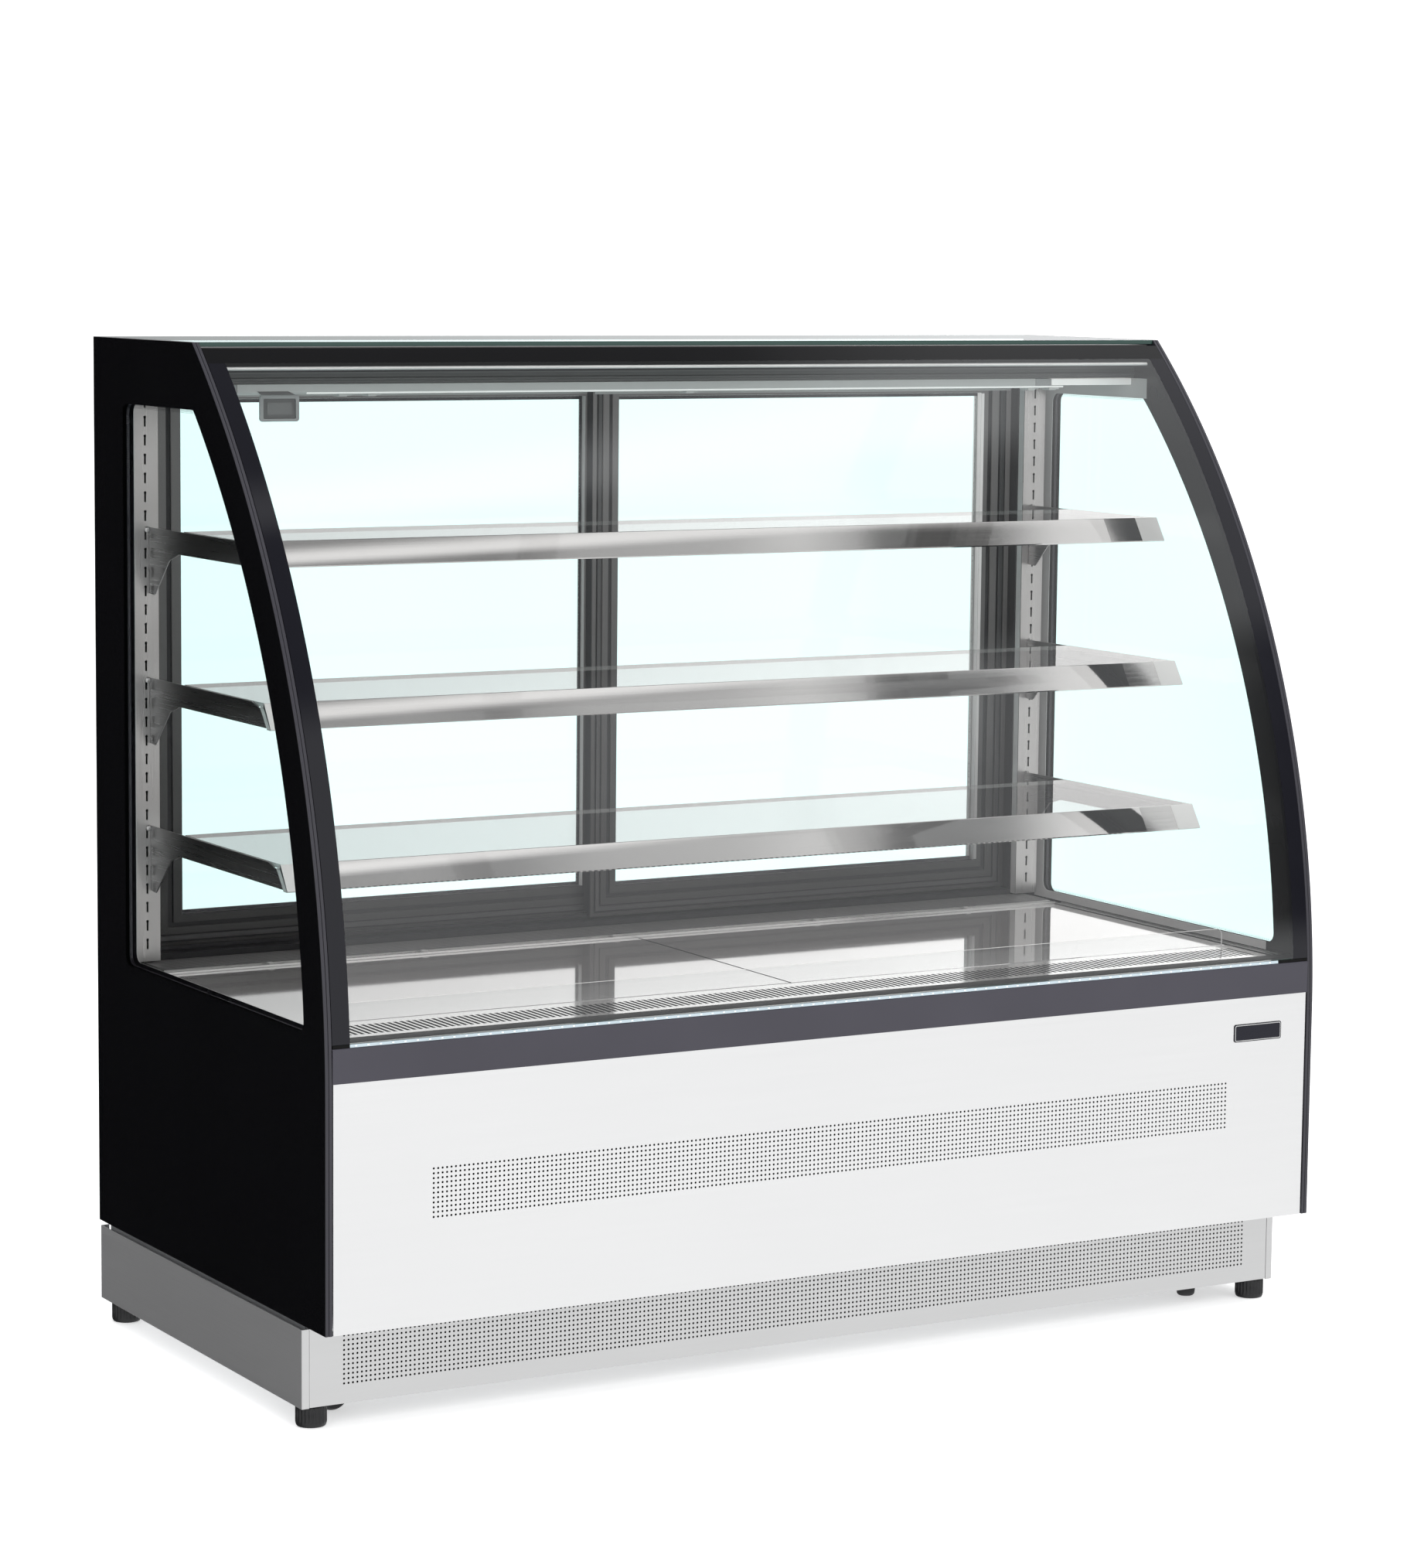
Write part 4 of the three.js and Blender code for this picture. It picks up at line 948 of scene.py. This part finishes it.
# -------- rear frame and doors
def rear_wall():
    low, high = corners_mm("rear_frame")
    x1, z0, z1 = high[0], low[2], high[2]
    hole = rect(-690.5, 690.5, 507, 1282)
    shape = Shape().prism(rect(-x1, x1, z0, z1), [hole], 665, 728, along_d)
    shape.box(-711.5, 711.5, 556.5, 664.9, 487.2, 492.5)
    for side in ("left", "right"):
        d = corner_mm(f"door_frame_{side}", 0)[1] + 10
        shape.box(-690.4, 690.4, d - 1.5, d + 1.5, 506.9, 513)
    shape.make("rear_frame_profile", [DARK], "black_frame", ["rear_frame"], 0.6)


rear_wall()


DOOR_BASE_Z = 515.0


def door(side):
    body = f"door_{side}"
    low, high = corners_mm(f"door_frame_{side}")
    g0, g1 = corners_mm(f"door_glass_{side}")
    d0, d1 = low[1], high[1]
    # The stiles that meet in the middle are the slimmer ones.
    x0, x1 = (g0[0] + 4, g1[0] + 16) if side == "left" else (g0[0] - 9, g1[0] - 3)
    z0, z1 = g0[2] - 5.5, g1[2] + 4
    hole = rect(x0, x1, z0, z1)
    leaf = Shape()
    leaf.prism(rect(low[0], high[0], DOOR_BASE_Z, high[2]), [hole], d0 + 3.0, d1, along_d)
    middle = d0 + 10
    for a, b in ((d0 + 3.0, middle - 2.5), (middle + 2.5, d1)):
        leaf.box(low[0], high[0], a, b, low[2], DOOR_BASE_Z - 0.05)

    def between(share):
        return rect(*(edge + (inner - edge) * share for edge, inner in
                      ((low[0], x0), (high[0], x1), (low[2], z0), (high[2], z1))))
    # Stepped face towards the shelves; three of its steps carry painted lamp light that grows
    # towards the top.
    for outer, inner, mat in ((0.005, 0.14, 2), (0.2, 0.34, 1), (0.40, 0.62, 2), (0.76, 0.995, 2)):
        leaf.prism(between(outer), [between(inner)], d0 + 0.6, d0 + 2.95, along_d, mat)
    leaf.make(f"door_leaf_{side}", [DARK, RIDGE, FACE], "black_frame",
              [f"door_frame_{side}"], 0.3, body=body)
    # Painted light on both reveals: the right one glows more towards the top, and the left one
    # takes the even painted glow of the linings.
    reveal = Shape().box(x1 - 1.0, x1 - 0.1, d0 + 0.7, d1 - 0.2, z0 + 0.1, z1 - 0.1)
    if side == "right":
        reveal.box(x1 + 0.1, x1 + 5.0, d0 + 0.2, d0 + 0.58, z0 + 1, z1 - 1)
    reveal.make(f"door_reveal_painted_light_{side}", [LINING if side == "left" else REVEAL_PAINTED_LIGHT],
                "black_frame", body=body)
    # The head strip takes the even painted glow of the linings.
    Shape().box(low[0] + 2, high[0] - 2, d0 + 0.1, d0 + 0.55, z1 + 3, high[2] - 2).make(
        f"door_head_strip_{side}", [LINING], "black_frame", body=body)
    glass = Shape()
    sheet = rect(x0 + 0.3, x1 - 1.3, z0 + 0.3, z1 - 0.3)
    glass.prism(sheet, [], d0 + 6, d0 + 9, along_d)
    glass.prism(sheet, [], d0 + 12, d0 + 14.0, along_d)
    glass.make(f"door_pane_{side}", [CLEAR], "clear_glass", [f"door_glass_{side}"], body=body)
    bar = Shape()
    spacer = rect(x0 + 0.4, x1 - 1.4, z0 + 0.4, z1 - 0.4)
    gap = rect(x0 + 4, x1 - (4 if side == "left" else 1.7), z0 + 5, z1 - 5)
    bar.prism(spacer, [gap], d0 + 9.05, d0 + 11.95, along_d)
    bar.make(f"door_spacer_{side}", [STRIP], "black_frame", body=body)
    # The right door's spacer is pale aluminium, with a faint painted glow on top of its colour.
    if side == "right":
        Shape().box(x1 - 4, x1 - 1.8, d0 + 9.1, d0 + 11.9, z0 + 5.1, z1 - 5.1).make(
            "door_spacer_pale_with_painted_glow_right", [OPAL], "black_frame", body=body)
    dots = Shape()
    z = z0 + 8
    while z < z1 - 8:
        for a, b in ((x0 + 4.05, x0 + 4.3), (x1 - 4.35, x1 - 4.1)):
            dots.box(a, b, d0 + 10, d0 + 11, z, z + 1.5)
        z += 4
    dots.make(f"door_spacer_dots_{side}", [BRIGHT], "black_frame", body=body)
    # Recessed finger pull on the outer stile, on the rear face.
    outer = low[0] + 25 if side == "left" else high[0] - 25
    pull = Shape()
    pull.prism(rounded(outer - 12, outer + 12, 830, 970, 11), [rounded(outer - 8, outer + 8,
                                                                      834, 966, 7.5)],
               d1, d1 + 1.6, along_d)
    pull.make(f"door_pull_{side}", [BRIGHT], "black_frame", bevel=0.3, body=body)


door("left")
door("right")


# -------- rear panel and controls
def rear_panel():
    low, high = corners_mm("rear_panel")
    face = high[1] - 1.8
    (x0, _, z0), (x1, _, z1) = corners_mm("controller")
    holes = [rect(x0 - 0.4, x1 + 0.4, z0 - 0.4, z1 + 0.4)]
    hoods = Shape()
    for cx in (-560, -400, -240, -80):
        for k in range(9):
            z = 190 + k * 22
            holes.append(rounded(cx - 60, cx + 60, z, z + 8, 3.5, 3))
            hoods.prism([(face + 0.05, z + 11), (face + 1.0, z + 9), (face + 1.7, z + 4),
                         (face + 1.7, z + 2.5), (face + 1.0, z + 2.5), (face + 0.7, z + 6),
                         (face + 0.05, z + 8.6)], [], cx - 62, cx + 62, along_x)
    shape = Shape().prism(rect(low[0], high[0], low[2], high[2]), holes, face - 1.2, face,
                          along_d)
    shape.box(low[0], high[0], low[1], face - 1.25, high[2] - 1.2, high[2])
    shape.box(low[0], high[0], low[1], face - 1.25, low[2], low[2] + 1.2)
    shape.make("rear_panel_sheet", [SIDE], "side_steel", ["rear_panel"])
    hoods.make("rear_louvre_hoods", [SIDE], "side_steel", bevel=0.2)
    screws = Shape()
    for x in (-725, -360, 0, 360, 725):
        for z in (low[2] + 9, high[2] - 9):
            def head(u, v, w, cx=x, cz=z):
                return cx + u, face + w, cz + v
            screws.lathe([(0, 1.6), (2.2, 1.4), (3.6, 0.7), (4.0, 0.02), (0, 0.02)], 20, head)
    screws.make("rear_panel_screws", [BOLT], "side_steel")


rear_panel()


def controls():
    low, high = corners_mm("controller")
    switch_low, switch_high = corners_mm("power_switch")
    well = rect(switch_low[0] - 1, switch_high[0] + 1, switch_low[2] - 1.5, switch_high[2] + 1.5)
    z0, z1, x0, x1 = low[2], high[2], low[0], high[0]
    middle = (z0 + z1) / 2
    screen = rounded(x0 + 14, x0 + 66, middle - 10, middle + 13, 2)
    keys = [rounded(x0 + 74 + 9 * i, x0 + 80 + 9 * i, middle + rise, middle + rise + 6, 2.4)
            for rise in (-8, 4) for i in range(2)]
    shape = Shape()
    shape.prism(rounded(x0, x1, z0, z1, 4), [screen, well, *keys], high[1] - 2.6, high[1],
                along_d)
    shape.prism(rect(x0 + 1.5, x1 - 1.5, z0 + 1.5, z1 - 1.5), [well], low[1], high[1] - 2.65,
                along_d)
    shape.make("controller_case", [NYLON], "black_plastic", ["controller"], 0.4)
    Shape().prism(rounded(x0 + 14.3, x0 + 65.7, middle - 9.7, middle + 12.7, 1.8), [],
                  high[1] - 2.55, high[1] - 0.8, along_d).make(
        "controller_screen", [SCREEN], "black_plastic")
    buttons = Shape()
    for key in keys:
        cu = sum(u for u, _ in key) / len(key)
        cv = sum(v for _, v in key) / len(key)
        buttons.prism([(cu + (u - cu) * 0.92, cv + (v - cv) * 0.92) for u, v in key], [],
                      high[1] - 2.55, high[1] - 0.1, along_d)
    buttons.make("controller_buttons", [HUB], "black_plastic", bevel=0.3)
    # Rocker with hollowed faces; it rests tipped to one side.
    axle_d = high[1] + 0.2 - 9
    axle_z = (switch_low[2] + switch_high[2]) / 2
    half = (switch_high[2] - switch_low[2]) / 2 - 0.35
    tip = math.radians(6)
    outline = [(-2, -2), (-2, 2), (4.5, half), (7.2, half)]
    for i in range(1, 8):
        v = half - i * half / 4
        outline.append((5.3 + 1.9 * (v / half) ** 2, v))
    outline += [(7.2, -half), (4.5, -half)]
    turned = [(axle_d + u * math.cos(tip) - v * math.sin(tip),
               axle_z + u * math.sin(tip) + v * math.cos(tip)) for u, v in outline]
    Shape().run(turned, switch_low[0] + 0.05, switch_high[0] - 0.05).make(
        "power_rocker", [NYLON], "black_plastic", ["power_switch"], 0.3, body="power_switch")


controls()


# -------- feet and castors
def feet():
    for end in ("front", "rear"):
        for side, _ in SIDES:
            node = f"foot_{end}_{side}"
            low, high = corners_mm(node)
            cx, cd = (low[0] + high[0]) / 2, (low[1] + high[1]) / 2

            def stand(u, v, w, cx=cx, cd=cd):
                return cx + u, cd + v, w
            pad = [(0, 0), (15.5, 0), (18.2, 0.8), (19.2, 2.6), (19.9, 5.5), (19.9, 8), (19.9, 16),
                   (19.9, 24), (18.9, 26), (17.5, 26.8), (8, 26.8), (0, 26.8)]
            Shape().lathe(pad, 96, stand, 0, 24, 1.1, (5, 6, 7)).make(
                f"foot_pad_{end}_{side}", [NYLON], "black_plastic", [node], body=node)
            thread = [(0, 26.9)]
            z = 27.0
            while z < 100:
                thread += [(4.9, z), (4.3, z + 0.7)]
                z += 1.4
            Shape().lathe([*thread, (0, z)], 20, stand).make(
                f"foot_stem_{end}_{side}", [BOLT], "black_plastic", body=node)
            nut = [(9.2 * math.cos(math.radians(a)) + cx, 9.2 * math.sin(math.radians(a)) + cd)
                   for a in range(0, 360, 60)]
            Shape().prism(nut, [], 27.2, 33.6, up).make(
                f"foot_nut_{end}_{side}", [BOLT], "black_plastic", bevel=0.5, body=node)


feet()


def wheel(end, side, body, turn):
    node = f"castor_wheel_{end}_{side}"
    low, high = corners_mm(node)
    cx, cd, cz = ((low[i] + high[i]) / 2 for i in range(3))
    c, s = math.cos(turn), math.sin(turn)

    def spin(u, v, w):
        return cx + u * c - w * s, cd + u * s + w * c, cz + v
    tyre = [(14.5, -11.8), (21.5, -11.8), (23.6, -9.6), (24.7, -6.2), (25, -2.5), (25, 2.5),
            (24.7, 6.2), (23.6, 9.6), (21.5, 11.8), (14.5, 11.8)]
    Shape().lathe(tyre, 48, spin, closed=True).make(
        f"castor_tyre_{end}_{side}", [RUBBER], "wheel_rubber", [node], body=body)
    hub = [(4.2, -12), (7.5, -12), (8.5, -10.6), (9, -8.5), (13.2, -8.5), (14.4, -10.8),
           (14.4, 10.8), (13.2, 8.5), (9, 8.5), (8.5, 10.6), (7.5, 12), (4.2, 12)]
    Shape().lathe(hub, 36, spin, closed=True).make(
        f"castor_hub_{end}_{side}", [HUB], "wheel_rubber", body=body)


SWIVEL_TURN = {"left": math.radians(12), "right": math.radians(58)}


def castors():
    for side, sign in SIDES:
        wheel("rear", side, f"wheel_rear_{side}", 0.0)
        turn = SWIVEL_TURN[side]
        wheel("front", side, f"wheel_front_{side}", turn)
        node = f"castor_fork_front_{side}"
        w0, w1 = corners_mm(f"castor_wheel_front_{side}")
        trail = 20.0
        c, s = math.cos(turn), math.sin(turn)
        px = (w0[0] + w1[0]) / 2 + trail * c
        pd = (w0[1] + w1[1]) / 2 + trail * s
        wheel_z = (w0[2] + w1[2]) / 2

        def local(u, v, w, px=px, pd=pd, c=c, s=s):
            return px + u * c - v * s, pd + u * s + v * c, w

        def cheek_place(u, v, w, place=local):
            return place(u, w, v)
        cheek = [(-trail + 9, wheel_z + 3), (7, 45), (10, 54), (10, 59.4), (-29, 59.4), (-29, 44)] \
            + fillet(-trail, wheel_z, 9, 170, 375, 10)
        fork = Shape()
        fork.prism(cheek, [], -16.2, -13.4, cheek_place)
        fork.prism(cheek, [], 13.4, 16.2, cheek_place)
        fork.prism(rounded(-29, 11, -16.2, 16.2, 5), [], 55.8, 59.4, local)
        head = [(0, 59.5), (22.5, 59.5), (22.8, 61), (22.4, 64.2), (20.4, 65.2), (11, 68.5),
                (9.6, 71), (5.8, 71.2), (5.8, 94), (0, 94)]
        fork.lathe(head, 36, local)
        fork.make(f"castor_fork_{side}", [NYLON], "black_plastic", [node], 0.4,
                  f"swivel_{side}")
        bolt = Shape()

        def axle_place(u, v, w, place=local, cz=wheel_z):
            return place(-trail + u, w, cz + v)
        bolt.lathe([(0, -16.9), (4.6, -16.9), (4.9, -16.2), (3.4, -16.1), (3.4, 16.1),
                    (4.9, 16.2), (4.6, 16.9), (0, 16.9)], 18, axle_place)
        bolt.make(f"castor_axle_{side}", [BOLT], "black_plastic", body=f"swivel_{side}")


castors()

# CAD pieces whose shape is already right keep their mesh and get a finish.
KEPT = {"glass_hinge_bar": DARK, "base_frame": ZINC, "insulated_body": LINER,
        "evaporator": FINS, "evaporator_fan": NYLON, "condenser": FINS, "condenser_fan": NYLON,
        "compressor": ENGINE}
for name, material in KEPT.items():
    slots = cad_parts[name].data.materials
    slots.clear()
    slots.append(material)


# -------- floor, light, camera
def floor():
    mesh = bpy.data.meshes.new("studio_floor")
    mesh.from_pydata([(-30, -30, 0), (30, -30, 0), (30, 30, 0), (-30, 30, 0)], [], [(0, 1, 2, 3)])
    white = (1, 1, 1)
    material, tree, shader, _ = clouded("studio_floor", white, 0.90, 0.93, 0.6, 2.0,
                                        Roughness=0.85, **{"Emission Color": (*white, 1),
                                                           "Emission Strength": 0.5})
    # Seen through the panes the floor carries the faint cyan of the glass.
    path = add(tree, "ShaderNodeLightPath")
    glassy = maths(tree, "GREATER_THAN", path.outputs["Transparent Depth"], 0.5)
    paper = add(tree, "ShaderNodeEmission", Color=(0.99, 1.3, 1.3, 1))
    surface(tree, mix_shaders(tree, glassy, shader, paper))
    mesh.materials.append(material)
    ground = put("studio_floor", mesh)
    ground.visible_glossy = False


floor()


def studio():
    """White behind everything; a lit studio with a dark rear left side in the reflections."""
    world = bpy.data.worlds.new("studio")
    bpy.context.scene.world = world
    world.use_nodes = True
    tree = world.node_tree
    tree.nodes.clear()
    where = add(tree, "ShaderNodeTexCoord")
    parts = add(tree, "ShaderNodeSeparateXYZ")
    link(tree, where, "Generated", parts, "Vector")
    x, y, z = (parts.outputs[i] for i in range(3))

    def soft(value, low, high):
        return ramp(tree, value, low, high, kind="SMOOTHSTEP")
    left = maths(tree, "MULTIPLY", soft(x, -0.03, -0.28), soft(y, -0.2, 0.25))
    right = maths(tree, "MULTIPLY", soft(x, 0.575, 0.61), soft(y, -0.15, -0.4))
    right = maths(tree, "MULTIPLY", right, maths(tree, "MULTIPLY", soft(z, -0.05, 0.03),
                                                 soft(z, 0.6, 0.5)))
    # The rear wall of the studio brightens from left to right.
    wash = ramp(tree, x, 0.38, 0.60, -0.32, 0.50)
    level = maths(tree, "ADD", 1.0, maths(tree, "MULTIPLY", soft(y, 0.2, 0.5), wash))
    for share, depth in ((left, 0.99), (right, 0.85), (soft(z, 0.835, 0.87), 0.72),
                         (soft(z, -0.05, -0.4), 0.12)):
        level = maths(tree, "MULTIPLY", level,
                      maths(tree, "SUBTRACT", 1.0, maths(tree, "MULTIPLY", share, depth)))
    # Flags in front and to the right give the leaning shelf lips their bands.
    stripes = add(tree, "ShaderNodeValToRGB")
    tree.links.new(ramp(tree, x, 0.40, 0.60), stripes.inputs["Fac"])
    # Where each flag or soft box stands, as a share of the sweep, and how bright it is.
    stops = ((0.0, 0.24), (0.18, 0.32), (0.27, 0.22), (0.36, 0.42), (0.50, 0.48), (0.58, 0.68),
             (0.635, 0.46), (0.66, 0.12), (0.735, 0.11), (0.77, 0.18), (0.80, 0.50),
             (0.83, 0.78), (0.877, 0.85), (1.0, 1.0))
    marks = stripes.color_ramp.elements
    for i, (at, value) in enumerate(stops):
        stop = marks[i] if i < 2 else marks.new(at)
        stop.position = at
        stop.color = (value, value, value, 1)
    zone = maths(tree, "MULTIPLY", soft(y, -0.15, -0.3),
                 maths(tree, "MULTIPLY", soft(z, 0.50, 0.60), soft(z, 0.83, 0.80)))
    shade = add(tree, "ShaderNodeMix", data_type="FLOAT")
    tree.links.new(zone, shade.inputs[0])
    shade.inputs[2].default_value = 1.0
    tree.links.new(stripes.outputs["Color"], shade.inputs[3])
    strength = maths(tree, "MULTIPLY", level, shade.outputs[0])
    path = add(tree, "ShaderNodeLightPath")
    fill = add(tree, "ShaderNodeMix", data_type="FLOAT")
    tree.links.new(path.outputs["Is Diffuse Ray"], fill.inputs[0])
    tree.links.new(strength, fill.inputs[2])
    fill.inputs[3].default_value = 0.9
    studio_light = add(tree, "ShaderNodeBackground")
    tree.links.new(fill.outputs[0], studio_light.inputs["Strength"])
    studio_light.inputs["Color"].default_value = (0.985, 0.99, 1, 1)
    white = add(tree, "ShaderNodeBackground", Strength=1.27)
    through = maths(tree, "GREATER_THAN", path.outputs["Transparent Depth"], 0.5)
    paper = add(tree, "ShaderNodeMix", data_type="RGBA")
    paper.inputs[6].default_value = (1, 1, 1, 1)
    paper.inputs[7].default_value = (0.78, 1, 1, 1)
    tree.links.new(through, paper.inputs[0])
    tree.links.new(paper.outputs[2], white.inputs["Color"])
    mix = mix_shaders(tree, path.outputs["Is Camera Ray"], studio_light, white)
    end = add(tree, "ShaderNodeOutputWorld")
    link(tree, mix, 0, end, "Surface")


studio()


def lamp_panel(name, centre, target, size, power):
    light = bpy.data.lights.new(name, "AREA")
    light.shape = "RECTANGLE"
    light.size, light.size_y = size
    light.energy = power
    body = put(name, light)
    body.location = centre
    aim = Vector(target) - Vector(centre)
    body.rotation_mode = "QUATERNION"
    body.rotation_quaternion = aim.to_track_quat("-Z", "Y")
    body.visible_glossy = False


lamp_panel("key_overhead", (0.6, -1.2, 4.6), (0, 0, 0.3), (4.0, 3.0), 130)
lamp_panel("fill_front", (2.6, -4.6, 2.4), (0, 0, 0.6), (3.0, 2.4), 60)


CAMERA_AT = (-2.93528, -5.07366, 1.46207)
CAMERA_TURN = (0.5222, 0.1233, -0.0102)  # yaw, pitch and roll in radians
CAMERA_LENS_MM = 99.62


def camera():
    yaw, pitch, roll = CAMERA_TURN
    forward = Vector((math.sin(yaw) * math.cos(pitch), math.cos(yaw) * math.cos(pitch),
                      -math.sin(pitch)))
    right = Vector((math.cos(yaw), -math.sin(yaw), 0))
    down = forward.cross(right)
    across = right * math.cos(roll) + down * math.sin(roll)
    below = down * math.cos(roll) - right * math.sin(roll)
    lens = bpy.data.cameras.new("camera")
    lens.lens = CAMERA_LENS_MM
    lens.sensor_width = 36
    lens.sensor_fit = "AUTO"
    lens.clip_start = 0.05
    lens.clip_end = 200
    eye = put("camera", lens)
    columns = (across, -below, -forward)
    turn = Matrix([[columns[c][r] for c in range(3)] for r in range(3)]).to_4x4()
    eye.matrix_world = Matrix.Translation(CAMERA_AT) @ turn
    bpy.context.scene.camera = eye


camera()
scene = bpy.context.scene
scene.view_settings.view_transform = "Standard"
scene.cycles.transparent_max_bounces = 40
scene.cycles.max_bounces = 10
